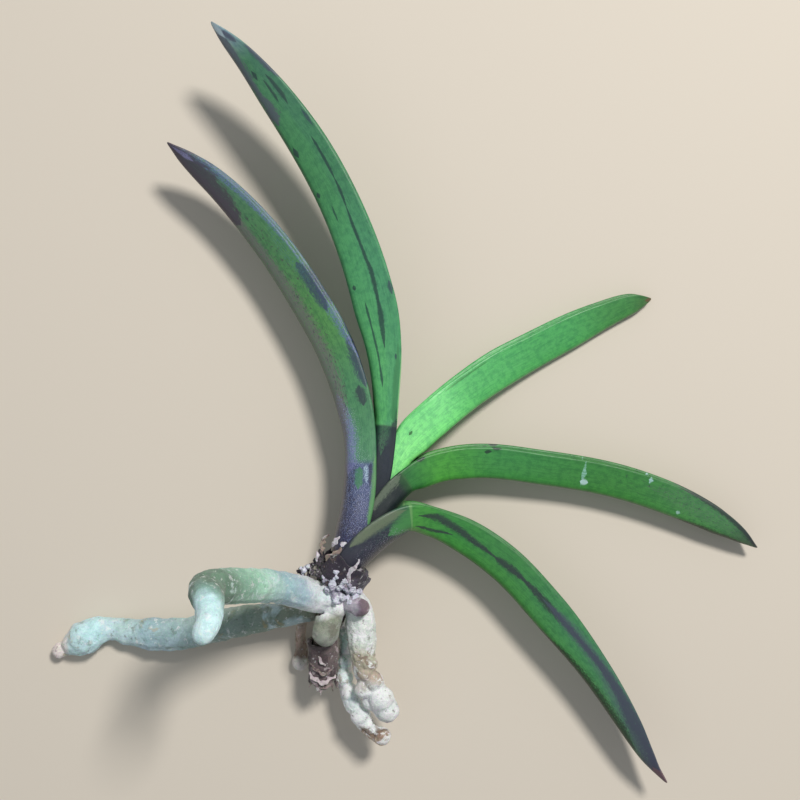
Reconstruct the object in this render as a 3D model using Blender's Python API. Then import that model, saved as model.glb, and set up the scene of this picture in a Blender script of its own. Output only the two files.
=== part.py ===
# A wind orchid lifted from its pot: a fan of five folded leaves on a short stem, with thick
# velvety roots, lying on its side on a flat surface. All sizes are millimetres until a mesh is made.
#
# The plant lies with the fan almost level. X and Y run along the surface and Z is up.
# The origin is the middle of the whole plant's box, on the surface.

import math

import bmesh
import bpy
import numpy as np
from mathutils import Vector

MM = 0.001
COLLECTION = "wind_orchid"

# The surface point below the camera is moved to the middle of the plant's box by this much.
CENTRE_X = 0.716
CENTRE_Y = -1.527

# The fan's middle plane: its height at one place, and how much it falls for each millimetre to the right.
FAN_X = -6.5
FAN_HEIGHT = 8.6
FAN_FALL = 0.12
ON_FAN = None

# Leaves
LEAF_THICKNESS = 0.6
KEEL_SQUASH = 0.6
TIGHTEST_CURVE = 0.4
FLANK_BEND = math.radians(12)
LEAF_STEP = 2.0
FLANK_SAMPLES = 3
KEEL_SAMPLES = 3
WIDTH_HALVINGS = 24
DIRECTION_REACH = 0.05

# Roots and stem
ROOT_GAP = 0.3
ROOT_STEP = 1.3
END_RINGS = 4
END_INSET = 0.6
LONG_LUMP = 1.9
SHORT_LUMP = 3.1
SHORT_LUMP_SHARE = 0.6
TUBE_SIDES_SETTING = 4
THIN_TUBE_SIDES_SETTING = 2

# Each leaf is folded in two along its keel. Each row holds x, y and height of the leaf's middle,
# its width seen from above, half the gap of the fold at the keel, the angle at which each flank
# spreads, and the angle by which the fold turns its open side upward.
# A row that lies ON_FAN belongs to the sheath, and the last such row is the joint with the blade.
LEAVES = {
    "leaf_1_right": {
        "side": 1, "colour": (0.035, 0.13, 0.045),
        "rows": [
            (-7.4, -22.6, ON_FAN, 4.6, 3.65, 0, 0), (-6.6, -21.2, ON_FAN, 4.7, 3.65, 0, 0),
            (-4.6, -19.1, ON_FAN, 4.8, 3.45, 6, 0), (-1.6, -16.9, ON_FAN, 4.6, 2.9, 14, 0),
            (1.1, -15.7, ON_FAN, 4.2, 2.1, 19, 0), (4.4, -16.5, 6.9, 4.3, 1.2, 15, 0),
            (9.7, -18.9, 6.5, 5.2, 0.75, 12, 4), (14.4, -22.2, 6.6, 5.5, 0.7, 11, 7),
            (20.5, -28.6, 6.9, 5.6, 0.7, 12, 9), (26.7, -36.4, 6.8, 4.7, 0.7, 13, 10),
            (31.5, -43.9, 6.4, 3.8, 0.65, 16, 10), (34.1, -48.6, 6.1, 2.5, 0.55, 22, 10),
            (35.4, -50.7, 5.9, 1.5, 0.5, 34, 10), (36.8, -52.7, 5.8, 0.9, 0.45, 42, 10),
        ],
    },
    "leaf_2_left": {
        "side": -1, "colour": (0.06, 0.10, 0.16),
        "rows": [
            (-8.0, -21.0, ON_FAN, 3.1, 2.85, 0, 0), (-7.1, -18.9, ON_FAN, 3.9, 2.85, 0, 0),
            (-6.2, -16.2, ON_FAN, 4.4, 2.85, 0, 0), (-5.5, -12.2, ON_FAN, 4.5, 2.35, 7, 0),
            (-5.3, -8.3, ON_FAN, 4.4, 1.75, 12, 0), (-5.4, -4.7, 8.4, 4.5, 1.3, 15, 0),
            (-5.9, -1.3, 8.5, 5.1, 1.0, 15, 2), (-8.4, 6.8, 8.3, 5.8, 0.75, 13, 8),
            (-12.1, 13.6, 8.0, 5.7, 0.7, 13, 12), (-18.1, 22.4, 7.8, 5.2, 0.7, 14, 14),
            (-25.8, 30.6, 8.3, 3.8, 0.65, 17, 14), (-29.0, 33.1, 8.7, 2.4, 0.55, 24, 14),
            (-31.4, 34.8, 9.0, 0.9, 0.45, 42, 14),
        ],
    },
    "leaf_3_right": {
        "side": 1, "colour": (0.04, 0.19, 0.055),
        "rows": [
            (-5.1, -18.9, ON_FAN, 3.9, 2.05, 0, 0), (-3.7, -16.3, ON_FAN, 3.9, 2.05, 0, 0),
            (-2.2, -14.0, ON_FAN, 3.9, 2.05, 0, 0), (-0.7, -12.1, ON_FAN, 3.9, 1.85, 7, 0),
            (0.6, -10.9, ON_FAN, 3.8, 1.45, 12, 0), (2.6, -9.9, 7.35, 4.5, 1.1, 13, 0),
            (5.4, -8.9, 6.7, 4.7, 0.85, 12, 3), (9.7, -8.3, 5.9, 5.0, 0.7, 11, 6),
            (20.5, -9.3, 4.8, 5.1, 0.7, 11, 10), (30.7, -11.2, 4.3, 5.1, 0.7, 11, 10),
            (37.1, -13.3, 3.9, 5.0, 0.7, 11, 10), (43.7, -16.3, 3.4, 4.3, 0.7, 13, 10),
            (47.0, -18.2, 3.1, 3.0, 0.6, 18, 10), (50.2, -20.7, 2.7, 0.9, 0.45, 42, 10),
        ],
    },
    "leaf_4_left": {
        "side": -1, "colour": (0.045, 0.20, 0.085),
        "rows": [
            (-4.9, -16.6, ON_FAN, 2.9, 1.25, 0, 0), (-3.7, -13.5, ON_FAN, 3.2, 1.25, 0, 0),
            (-2.8, -10.2, ON_FAN, 3.5, 1.25, 0, 0), (-2.3, -6.8, ON_FAN, 3.5, 1.25, 0, 0),
            (-1.9, -3.4, ON_FAN, 3.3, 1.2, 4, 0), (-1.8, 0.0, 8.7, 3.6, 1.05, 9, 0),
            (-2.0, 6.7, 9.3, 5.0, 0.9, 12, 3), (-3.2, 13.4, 9.9, 6.4, 0.8, 13, 7),
            (-7.8, 26.6, 10.9, 6.0, 0.75, 13, 11), (-11.25, 33.1, 11.4, 5.8, 0.75, 13, 12),
            (-15.65, 39.6, 12.0, 5.1, 0.7, 14, 12), (-20.85, 46.0, 12.7, 3.2, 0.6, 22, 12),
            (-24.8, 49.7, 13.0, 1.1, 0.45, 42, 12),
        ],
    },
    "leaf_5_right": {
        "side": 1, "colour": (0.055, 0.26, 0.06),
        "rows": [
            (-3.3, -14.0, ON_FAN, 2.5, 0.45, 0, 0), (-2.4, -12.2, ON_FAN, 3.1, 0.45, 0, 0),
            (-1.2, -9.8, ON_FAN, 3.5, 0.45, 0, 0), (-0.2, -7.6, ON_FAN, 3.9, 0.45, 0, 0),
            (2.0, -4.7, 7.6, 5.4, 0.5, 3, 0), (5.1, -1.9, 6.8, 5.5, 0.6, 8, 0),
            (9.4, 1.5, 4.8, 5.6, 0.7, 10, 3), (13.9, 4.5, 3.2, 5.8, 0.7, 10, 6),
            (18.8, 7.2, 2.2, 5.5, 0.7, 10, 8), (23.8, 9.8, 1.75, 5.2, 0.7, 10, 8),
            (28.5, 12.1, 1.5, 4.3, 0.7, 11, 8), (33.0, 13.9, 1.4, 3.2, 0.6, 15, 8),
            (35.6, 14.4, 1.25, 1.5, 0.5, 30, 8),
        ],
    },
}

# Each tube row: x, y, height of its middle line, diameter. The first row is inside what carries it.
STEM_ROWS = [
    (-10.4, -37.4, 6.1, 2.2), (-10.6, -34.6, 6.6, 2.4), (-10.2, -31.6, 7.2, 3.0), (-9.4, -29.6, 7.9, 3.7),
    (-8.9, -27.8, 8.3, 4.0), (-8.4, -25.5, 8.6, 3.7), (-7.9, -23.4, 8.65, 3.1), (-6.7, -20.8, 8.6, 2.5),
    (-5.2, -17.8, 8.4, 1.6), (-4.4, -15.9, 8.3, 0.9),
]
ROOTS = {
    "root_raised": {
        "trimmed_by": ["stem"], "colour": (0.42, 0.58, 0.53), "lumps": 0.02, "thin": False,
        "rows": [
            (-8.8, -27.1, 8.4, 3.4), (-10.3, -26.6, 9.8, 4.3), (-13.2, -25.3, 12.6, 4.5),
            (-16.0, -23.8, 17.0, 4.2), (-18.5, -22.9, 22.0, 4.4), (-20.9, -22.2, 26.6, 4.4),
            (-22.3, -21.9, 30.0, 4.3), (-22.0, -22.1, 32.9, 4.0), (-21.2, -22.9, 35.4, 3.4),
            (-20.9, -24.1, 37.7, 2.95), (-21.3, -25.5, 39.8, 2.6),
        ],
    },
    "root_right": {
        "trimmed_by": ["stem", "root_raised"], "colour": (0.60, 0.60, 0.55), "lumps": 0.06, "thin": False,
        "rows": [
            (-7.6, -26.3, 8.4, 3.4), (-5.9, -27.7, 8.8, 4.0), (-5.3, -30.4, 8.8, 4.1),
            (-5.1, -33.8, 8.6, 3.7), (-4.9, -36.2, 8.3, 3.0), (-3.9, -38.7, 8.0, 3.2),
            (-2.7, -40.8, 7.8, 3.7), (-1.4, -42.9, 7.6, 3.0),
        ],
    },
    "root_long": {
        "trimmed_by": ["stem", "root_raised"], "colour": (0.38, 0.50, 0.45), "lumps": 0.025, "thin": False,
        "rows": [
            (-8.8, -28.0, 7.0, 3.0), (-10.9, -28.4, 6.6, 3.1), (-15.0, -29.4, 6.0, 3.2),
            (-17.9, -29.9, 5.2, 3.6), (-20.8, -30.5, 4.6, 4.1), (-23.8, -31.1, 4.0, 4.4),
            (-27.9, -32.2, 3.3, 4.4), (-31.2, -32.9, 2.8, 4.6), (-34.6, -32.9, 2.4, 4.6),
            (-38.1, -32.8, 1.85, 3.8), (-40.7, -32.4, 1.5, 3.1), (-42.4, -32.5, 1.8, 4.0),
            (-44.2, -33.4, 2.2, 4.9), (-46.2, -34.6, 1.6, 3.5), (-47.3, -35.1, 1.1, 2.0),
            (-48.5, -35.6, 1.05, 2.3),
        ],
    },
    "root_stub_middle": {
        "trimmed_by": ["stem", "root_raised", "root_right"],
        "colour": (0.26, 0.29, 0.20), "lumps": 0.02, "thin": False,
        "rows": [
            (-8.6, -27.9, 8.6, 3.4), (-9.4, -28.7, 10.1, 3.6), (-9.8, -30.2, 10.6, 3.7),
            (-10.1, -32.0, 10.2, 3.4),
        ],
    },
    "root_right_thin": {
        "trimmed_by": ["stem", "root_right", "root_long"],
        "colour": (0.50, 0.57, 0.52), "lumps": 0.09, "thin": True,
        "rows": [
            (-8.8, -29.0, 7.4, 1.7), (-7.8, -31.2, 5.2, 1.9), (-7.5, -35.2, 4.4, 1.9),
            (-7.5, -37.6, 4.4, 1.9), (-7.7, -39.2, 4.8, 2.1), (-6.9, -41.2, 5.6, 2.3),
            (-5.5, -43.1, 6.2, 2.5), (-4.3, -44.9, 6.8, 2.2), (-2.4, -46.1, 7.2, 2.3),
        ],
    },
    "root_stub_left": {
        "trimmed_by": ["stem", "root_long"], "colour": (0.25, 0.19, 0.14), "lumps": 0.05, "thin": True,
        "rows": [
            (-9.4, -29.6, 6.9, 1.5), (-11.2, -29.2, 4.9, 1.5), (-13.0, -29.5, 3.9, 1.4),
            (-13.7, -31.2, 3.4, 1.4), (-14.0, -33.6, 2.6, 1.7), (-13.9, -34.9, 2.1, 1.5),
            (-14.1, -36.6, 1.2, 2.4), (-14.2, -37.9, 0.95, 2.5),
        ],
    },
    "root_bud": {
        "trimmed_by": ["stem", "root_right", "root_raised", "root_stub_middle"],
        "colour": (0.30, 0.22, 0.26), "lumps": 0.0, "thin": False,
        "rows": [
            (-7.3, -26.9, 8.6, 2.2), (-6.6, -27.0, 11.0, 2.4), (-5.4, -27.3, 12.2, 2.4),
            (-4.6, -27.6, 12.5, 2.0),
        ],
    },
}

# Dry sheath remains: each cuff row is a place along the axis, half width in the fan, half width across it.
COLLAR_CUFF = {
    "start": (-8.3, -25.6, 8.65), "end": (-7.5, -22.4, 8.7), "wall": 0.6,
    "rows": [(0.0, 2.45, 2.45), (1.1, 2.7, 3.5), (2.1, 3.0, 4.45), (3.3, 3.3, 4.5)],
    "tears": {0: -0.8, 1: -0.6, 3: 0.5, 4: 0.9, 5: 2.2, 6: 0.7, 8: 1.5, 9: 0.3, 11: 1.4, 12: 0.4, 15: -0.6},
}
STUB_CUFF = {
    "start": (-10.6, -32.9, 6.9), "end": (-10.45, -38.0, 6.0), "wall": 0.5,
    "rows": [(0.0, 1.65, 1.65), (1.8, 1.5, 1.5), (3.6, 1.45, 1.45), (5.0, 1.5, 1.5)],
    "tears": {0: 1.2, 2: 0.3, 3: 1.6, 5: 0.9, 7: 1.9, 8: 0.2, 10: 1.4, 12: 0.6, 13: 1.7, 15: 0.8},
}
CUFF_SIDES = 16
CUFF_TURN = 2 * math.pi / CUFF_SIDES
CUFF_BOXINESS = 0.75

# These lie on the surface, each on a small flat of its own.
RESTING = ("leaf_5_right", "root_long", "root_stub_left")

SHARP_ANGLE = math.radians(50)
MERGE_DISTANCE = 0.01
STEM_COLOUR = (0.12, 0.09, 0.06)
REMAINS_COLOUR = (0.45, 0.42, 0.40)
LEAF_ROUGHNESS = 0.42
ROOT_ROUGHNESS = 0.85


def clear_scene():
    """Remove every object, so the script always starts from nothing."""
    for thing in list(bpy.data.objects):
        bpy.data.objects.remove(thing, do_unlink=True)


def new_collection(name):
    """Make a collection and link it to the scene."""
    group = bpy.data.collections.new(name)
    bpy.context.scene.collection.children.link(group)
    return group


def make_material(name, colour, roughness):
    """A plain Principled material."""
    material = bpy.data.materials.new(name)
    material.use_nodes = True
    shader = material.node_tree.nodes["Principled BSDF"]
    shader.inputs["Base Color"].default_value = (*colour, 1.0)
    shader.inputs["Roughness"].default_value = roughness
    shader.inputs["Metallic"].default_value = 0.0
    return material


def fan_height(x):
    """Height of the fan's middle plane."""
    return FAN_HEIGHT - FAN_FALL * (x - FAN_X)


def fan_normal():
    """Unit vector square to the fan's middle plane."""
    return Vector((FAN_FALL, 0.0, 1.0)).normalized()


def to_metres(point):
    """Move a point from the surface's own frame to the plant's frame, in metres."""
    return Vector((point[0] - CENTRE_X, point[1] - CENTRE_Y, point[2])) * MM


def chord_places(points):
    """Distance along a chain of points."""
    steps = np.linalg.norm(np.diff(points, axis=0), axis=1)
    return np.concatenate([[0.0], np.cumsum(steps)])


def round_slopes(places, values):
    """Slopes that give a smooth, rounded curve through the values."""
    return np.gradient(values, places)


def flat_slopes(places, values):
    """Slopes that keep level stretches level and never overshoot."""
    secants = np.diff(values) / np.diff(places)
    slopes = np.zeros(len(values))
    slopes[0] = secants[0]
    slopes[-1] = secants[-1]
    for index in range(1, len(values) - 1):
        before, after = secants[index - 1], secants[index]
        if before * after > 0.0:
            slopes[index] = 2.0 * before * after / (before + after)
    return slopes


def curve_value(places, values, slopes, where):
    """Read a cubic curve, given by values and slopes at its places."""
    span = int(np.clip(np.searchsorted(places, where) - 1, 0, len(places) - 2))
    length = places[span + 1] - places[span]
    t = (where - places[span]) / length
    start = (1 + 2 * t) * (1 - t) ** 2 * values[span] + t * (1 - t) ** 2 * length * slopes[span]
    end = t * t * (3 - 2 * t) * values[span + 1] + t * t * (t - 1) * length * slopes[span + 1]
    return start + end


class Line:
    """A smooth line through rows of x, y, height and other values, read by distance along it."""

    def __init__(self, rows, on_fan=False):
        table = np.array([
            [fan_height(row[0]) if value is ON_FAN else value for value in row] for row in rows
        ])
        self.places = chord_places(table[:, :3])
        self.length = self.places[-1]
        self.on_fan = on_fan
        if on_fan:
            table[:, 2] -= [fan_height(x) for x in table[:, 0]]
        self.columns = [(column, round_slopes(self.places, column)) for column in table.T[:2]]
        self.columns += [(column, flat_slopes(self.places, column)) for column in table.T[2:]]

    def read(self, where):
        """The middle point and the other values at a distance along the line."""
        x, y, z, *others = [curve_value(self.places, v, s, where) for v, s in self.columns]
        if self.on_fan:
            z += fan_height(x)
        return Vector((x, y, z)), others

    def direction(self, where):
        """The line's direction at a distance along it."""
        before, _ = self.read(max(where - DIRECTION_REACH, 0.0))
        after, _ = self.read(min(where + DIRECTION_REACH, self.length))
        return (after - before).normalized()


def leaf_section(flank, fold, spread):
    """Half a leaf's section from keel to margin: (across, forward, normal across, normal forward)."""
    squash = max(KEEL_SQUASH, math.sqrt(TIGHTEST_CURVE / fold))
    sweep = math.atan2(math.cos(spread), squash * math.sin(spread))
    half = []
    for step in range(KEEL_SAMPLES + 1):
        turn = sweep * step / KEEL_SAMPLES
        normal = Vector((-squash * math.sin(turn), math.cos(turn))).normalized()
        half.append((fold * math.sin(turn), squash * fold * (1 - math.cos(turn)), normal.x, normal.y))
    bend = min(spread, FLANK_BEND)
    across, forward = half[-1][:2]
    for step in range(1, FLANK_SAMPLES + 1):
        lean = spread + bend * (0.5 - (step - 0.5) / FLANK_SAMPLES)
        across += math.sin(lean) * flank / FLANK_SAMPLES
        forward += math.cos(lean) * flank / FLANK_SAMPLES
        half.append((across, forward, -math.cos(lean), math.sin(lean)))
    return half


def turned_section(flank, fold, spread, turn):
    """The whole section from rear to front margin: (inward, lift, normal inward, normal lift)."""
    half = leaf_section(flank, fold, spread)
    rear = [(-a, f, -normal_a, normal_f) for a, f, normal_a, normal_f in reversed(half[1:])]
    c, s = math.cos(turn), math.sin(turn)
    turned = []
    for a, f, normal_a, normal_f in rear + half:
        normal_reach, normal_lift = normal_f * c - normal_a * s, normal_a * c + normal_f * s
        turned.append((f * c - a * s, a * c + f * s, normal_reach, normal_lift))
    return turned


def fitted_section(width, fold, spread, turn):
    """The section whose flanks are just long enough to give the width seen from above."""
    short, long = 0.0, 2.0 * width
    for _ in range(WIDTH_HALVINGS):
        flank = (short + long) / 2
        section = turned_section(flank, fold, spread, turn)
        reaches = [sample[0] for sample in section]
        if max(reaches) - min(reaches) + LEAF_THICKNESS < width:
            short = flank
        else:
            long = flank
    return section


def middle_of(values):
    """Half way between the least and the greatest value."""
    return (min(values) + max(values)) / 2


def leaf_ring(line, where, side):
    """Outer and inner points of a leaf's wall at a distance along it, from rear to front margin."""
    middle, (width, fold, spread, turn) = line.read(where)
    along = line.direction(where)
    normal = fan_normal()
    normal = (normal - along * normal.dot(along)).normalized()
    inward = normal.cross(along) * side
    section = fitted_section(width, fold, math.radians(spread), math.radians(turn))
    middle -= inward * middle_of([sample[0] for sample in section])
    middle -= normal * middle_of([sample[1] for sample in section])
    outer, inner = [], []
    for reach, lift, normal_reach, normal_lift in section:
        centre = middle + inward * reach + normal * lift
        offset = (inward * normal_reach + normal * normal_lift) * (LEAF_THICKNESS / 2)
        outer.append(centre - offset)
        inner.append(centre + offset)
    return outer, inner


def wall_faces(rings, count, closed=False):
    """Triangles of a wall whose rings each hold count outer points and then count inner points."""
    faces = []
    panels = count if closed else count - 1

    def spot(ring, index, inside):
        return ring * 2 * count + (count if inside else 0) + index % count

    for ring in range(rings - 1):
        for index in range(panels):
            for inside in (False, True):
                a, b = spot(ring, index, inside), spot(ring, index + 1, inside)
                c, d = spot(ring + 1, index + 1, inside), spot(ring + 1, index, inside)
                faces += [(a, b, c), (a, c, d)]
        for index in () if closed else (0, count - 1):
            a, b = spot(ring, index, False), spot(ring, index, True)
            c, d = spot(ring + 1, index, True), spot(ring + 1, index, False)
            faces += [(a, b, c), (a, c, d)]
    for ring in (0, rings - 1):
        for index in range(panels):
            a, b = spot(ring, index, False), spot(ring, index + 1, False)
            c, d = spot(ring, index + 1, True), spot(ring, index, True)
            faces += [(a, b, c), (a, c, d)]
    return faces


def mesh_object(name, points, faces, group, material):
    """Make an object from points in millimetres, with its faces pointing out."""
    mesh = bpy.data.meshes.new(name)
    mesh.from_pydata([to_metres(point) for point in points], [], faces)
    shape = bmesh.new()
    shape.from_mesh(mesh)
    bmesh.ops.recalc_face_normals(shape, faces=shape.faces[:])
    if shape.calc_volume(signed=True) < 0.0:
        bmesh.ops.reverse_faces(shape, faces=shape.faces[:])
    shape.to_mesh(mesh)
    shape.free()
    mesh.shade_smooth()
    mesh.set_sharp_from_angle(angle=SHARP_ANGLE)
    mesh.materials.append(material)
    thing = bpy.data.objects.new(name, mesh)
    group.objects.link(thing)
    return thing


def make_leaf(name, leaf, group):
    """Loft a leaf from the base of its folded sheath to the tip of its blade."""
    line = Line(leaf["rows"], on_fan=True)
    rings = round(line.length / LEAF_STEP) + 1
    points = []
    for where in np.linspace(0.0, line.length, rings):
        outer, inner = leaf_ring(line, where, leaf["side"])
        points += outer + inner
    samples = 2 * (KEEL_SAMPLES + FLANK_SAMPLES) + 1
    material = make_material(name, leaf["colour"], LEAF_ROUGHNESS)
    return mesh_object(name, points, wall_faces(rings, samples), group, material)


def dome(radius):
    """Rings that round off the end of a tube: how far each lies past the body, and its radius."""
    turns = [math.pi / 2 * step / (END_RINGS + 0.5) for step in range(1, END_RINGS + 1)]
    return [(radius * math.sin(turn), radius * math.cos(turn)) for turn in turns]


def tube_stations(line, lumps, round_start):
    """Distances and radii along a tube whose free end, and start if asked, are rounded."""
    start_radius = line.read(0.0)[1][0] / 2
    end_radius = line.read(line.length)[1][0] / 2
    first = start_radius if round_start else 0.0
    last = line.length - end_radius * END_INSET
    stations = []
    if round_start:
        stations = [(first - past, radius) for past, radius in reversed(dome(start_radius))]
    for where in np.linspace(first, last, max(round((last - first) / ROOT_STEP), 3) + 1):
        radius = line.read(where)[1][0] / 2
        wave = math.sin(where * LONG_LUMP) + SHORT_LUMP_SHARE * math.sin(where * SHORT_LUMP)
        stations.append((where, radius * (1 + lumps * wave)))
    stations += [(last + past, radius) for past, radius in dome(stations[-1][1])]
    return stations


def tube_curve(name, rows, lumps, round_start, thin, extra_radius, group):
    """A bevelled curve along the rows, with a radius of its own at each point."""
    line = Line(rows)
    stations = tube_stations(line, lumps, round_start)
    curve = bpy.data.curves.new(name, "CURVE")
    curve.dimensions = "3D"
    curve.bevel_depth = MM
    curve.bevel_resolution = THIN_TUBE_SIDES_SETTING if thin else TUBE_SIDES_SETTING
    curve.use_fill_caps = True
    curve.render_resolution_u = 0
    spline = curve.splines.new("POLY")
    spline.points.add(len(stations) - 1)
    for point, (where, radius) in zip(spline.points, stations):
        middle, _ = line.read(min(where, line.length))
        middle += line.direction(line.length) * max(where - line.length, 0.0)
        point.co = (*to_metres(middle), 1.0)
        point.radius = radius + extra_radius
    thing = bpy.data.objects.new(name, curve)
    group.objects.link(thing)
    return thing


def curve_to_mesh(thing, group, material):
    """Swap a curve object for a closed mesh object of the same shape."""
    name = thing.name
    bpy.context.view_layer.update()
    evaluated = thing.evaluated_get(bpy.context.evaluated_depsgraph_get())
    mesh = bpy.data.meshes.new_from_object(evaluated)
    shape = bmesh.new()
    shape.from_mesh(mesh)
    bmesh.ops.remove_doubles(shape, verts=shape.verts[:], dist=MERGE_DISTANCE * MM)
    bmesh.ops.recalc_face_normals(shape, faces=shape.faces[:])
    shape.to_mesh(mesh)
    shape.free()
    mesh.shade_smooth()
    mesh.materials.clear()
    if material:
        mesh.materials.append(material)
    place = thing.matrix_world.copy()
    bpy.data.objects.remove(thing, do_unlink=True)
    mesh.name = name
    solid = bpy.data.objects.new(name, mesh)
    solid.matrix_world = place
    group.objects.link(solid)
    return solid


def cut_away(thing, cutter):
    """Take one solid away from another, and keep the cutter as a wire guide."""
    cutter.hide_render = True
    cutter.display_type = "WIRE"
    cut = thing.modifiers.new("clear_" + cutter.name, "BOOLEAN")
    cut.operation = "DIFFERENCE"
    cut.solver = "EXACT"
    cut.object = cutter


def apply_cuts(thing):
    """Bake the cuts into the mesh, so that it can be flattened underneath."""
    bpy.context.view_layer.update()
    evaluated = thing.evaluated_get(bpy.context.evaluated_depsgraph_get())
    mesh = bpy.data.meshes.new_from_object(evaluated)
    thing.modifiers.clear()
    thing.data = mesh


def flatten_underside(thing):
    """Slice off what lies below the surface, and close the slice with a flat face."""
    apply_cuts(thing)
    shape = bmesh.new()
    shape.from_mesh(thing.data)
    everything = shape.verts[:] + shape.edges[:] + shape.faces[:]
    bmesh.ops.bisect_plane(shape, geom=everything, plane_co=(0, 0, 0), plane_no=(0, 0, 1), clear_inner=True)
    rim = [edge for edge in shape.edges if edge.is_boundary]
    bmesh.ops.holes_fill(shape, edges=rim, sides=0)
    bmesh.ops.recalc_face_normals(shape, faces=shape.faces[:])
    shape.to_mesh(thing.data)
    shape.free()


def make_tubes(group, cutters):
    """The stem first, then each root, trimmed clear of the stem and of the roots before it."""
    fat = {}
    all_tubes = {"stem": {"rows": STEM_ROWS, "lumps": 0.015, "thin": False, "trimmed_by": [],
                          "colour": STEM_COLOUR}}
    all_tubes.update(ROOTS)
    for name, tube in all_tubes.items():
        is_stem = name == "stem"
        material = make_material(name, tube["colour"], ROOT_ROUGHNESS)
        bare = tube_curve(name, tube["rows"], tube["lumps"], is_stem, tube["thin"], 0.0, group)
        solid = curve_to_mesh(bare, group, material)
        for other in tube["trimmed_by"]:
            cut_away(solid, fat[other])
        guide = tube_curve("space_" + name, tube["rows"], tube["lumps"], is_stem, tube["thin"], ROOT_GAP,
                           cutters)
        fat[name] = curve_to_mesh(guide, cutters, None)
        fat[name].hide_render = True
        fat[name].display_type = "WIRE"
        if name in RESTING:
            flatten_underside(solid)
    return fat


def boxed(value):
    """Push a cosine or a sine outward, so that a round section grows squarer corners."""
    return math.copysign(abs(value) ** CUFF_BOXINESS, value)


def make_cuff(name, cuff, group):
    """A thin ragged sleeve round an axis, torn into points along one edge."""
    start, end = Vector(cuff["start"]), Vector(cuff["end"])
    axis = (end - start).normalized()
    across = fan_normal()
    across = (across - axis * across.dot(axis)).normalized()
    side = axis.cross(across)
    points = []
    last = len(cuff["rows"]) - 1
    for row, (place, half_side, half_across) in enumerate(cuff["rows"]):
        for wall in (cuff["wall"], 0.0):
            for index in range(CUFF_SIDES):
                c, s = boxed(math.cos(index * CUFF_TURN)), boxed(math.sin(index * CUFF_TURN))
                reach = place + (cuff["tears"].get(index, 0.0) if row == last else 0.0)
                out = side * c * (half_side + wall) + across * s * (half_across + wall)
                points.append(start + axis * reach + out)
    faces = wall_faces(len(cuff["rows"]), CUFF_SIDES, closed=True)
    return mesh_object(name, points, faces, group, make_material(name, REMAINS_COLOUR, ROOT_ROUGHNESS))


def main():
    clear_scene()
    plant = new_collection(COLLECTION)
    cutters = new_collection("cutters")
    for name, leaf in LEAVES.items():
        made = make_leaf(name, leaf, plant)
        if name in RESTING:
            flatten_underside(made)
    spaces = make_tubes(plant, cutters)
    collar = make_cuff("sheath_remains_collar", COLLAR_CUFF, plant)
    for root in ("root_raised", "root_right", "root_bud"):
        cut_away(collar, spaces[root])
    make_cuff("sheath_remains_stub", STUB_CUFF, plant)


main()
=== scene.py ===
# %% [markdown]
# # A wind orchid on a studio table
#
# The plant lies on its side: five folded leaves in a fan, a short stem, and thick velvety roots.
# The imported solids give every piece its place. Each piece is then built again with a finer
# surface and its own procedural material, and rides on the body of its solid.

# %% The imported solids
import math
import random
from collections import namedtuple

import bpy
import numpy as np
from mathutils import Matrix, Vector, noise


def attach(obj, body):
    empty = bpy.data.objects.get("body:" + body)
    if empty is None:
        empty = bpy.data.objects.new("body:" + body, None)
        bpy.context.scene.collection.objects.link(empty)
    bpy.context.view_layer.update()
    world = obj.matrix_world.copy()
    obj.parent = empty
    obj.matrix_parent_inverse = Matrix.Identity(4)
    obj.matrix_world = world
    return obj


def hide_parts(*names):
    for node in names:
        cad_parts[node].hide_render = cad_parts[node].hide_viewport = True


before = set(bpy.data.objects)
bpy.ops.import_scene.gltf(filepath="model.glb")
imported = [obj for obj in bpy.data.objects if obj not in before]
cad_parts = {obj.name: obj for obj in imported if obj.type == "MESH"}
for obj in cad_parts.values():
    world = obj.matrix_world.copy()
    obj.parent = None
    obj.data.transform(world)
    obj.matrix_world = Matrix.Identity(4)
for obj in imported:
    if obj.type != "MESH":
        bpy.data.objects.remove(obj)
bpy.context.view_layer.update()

MM = 0.001

# %% [markdown]
# ## Small tools
#
# Places are given in millimetres measured from the point below the camera, as in the solids'
# source. `to_metres` moves them to the plant's own frame, whose origin is the middle of its box.
# Every finished piece keeps its origin there, so a material reads the plant's own coordinates.

# %% Places and numbers
CENTRE_X = 0.716
CENTRE_Y = -1.527


def to_metres(point):
    """Move a point from below the camera to the plant's frame, in metres."""
    return Vector((point[0] - CENTRE_X, point[1] - CENTRE_Y, point[2])) * MM


def mix(start, end, share):
    """Blend two numbers or two vectors."""
    return start + (end - start) * share


def ease(value, low, high):
    """Rise smoothly from 0 at low to 1 at high."""
    share = min(max((value - low) / (high - low), 0.0), 1.0)
    return share * share * (3.0 - 2.0 * share)


print("the point below the camera lies at", tuple(to_metres((0.0, 0.0, 0.0))))


# %% [markdown]
# Blender's operators work on whatever is selected, so one helper selects a piece alone. Modifiers
# could stay live, but here they are applied at once, so that each piece is its finished mesh. The
# last helper gives a piece its material, ties it to the plant's body and says which solids it
# stands for.

# %% Selecting, applying and finishing
def select_only(piece):
    """Make a piece the active one, so that Blender's operators act on it alone."""
    bpy.ops.object.select_all(action="DESELECT")
    piece.select_set(True)
    bpy.context.view_layer.objects.active = piece


def apply_all(piece):
    """Apply every modifier of a piece, in order."""
    select_only(piece)
    for modifier in list(piece.modifiers):
        bpy.ops.object.modifier_apply(modifier=modifier.name)


def finish_piece(piece, material, slot, *nodes):
    """Give a piece its smooth shading and material, and let it stand for its solids."""
    piece.data.materials.clear()
    piece.data.materials.append(material)
    piece.data.shade_smooth()
    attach(piece, "root")
    if nodes:
        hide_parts(*nodes)
    print(piece.name, len(piece.data.polygons), "faces")


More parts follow.
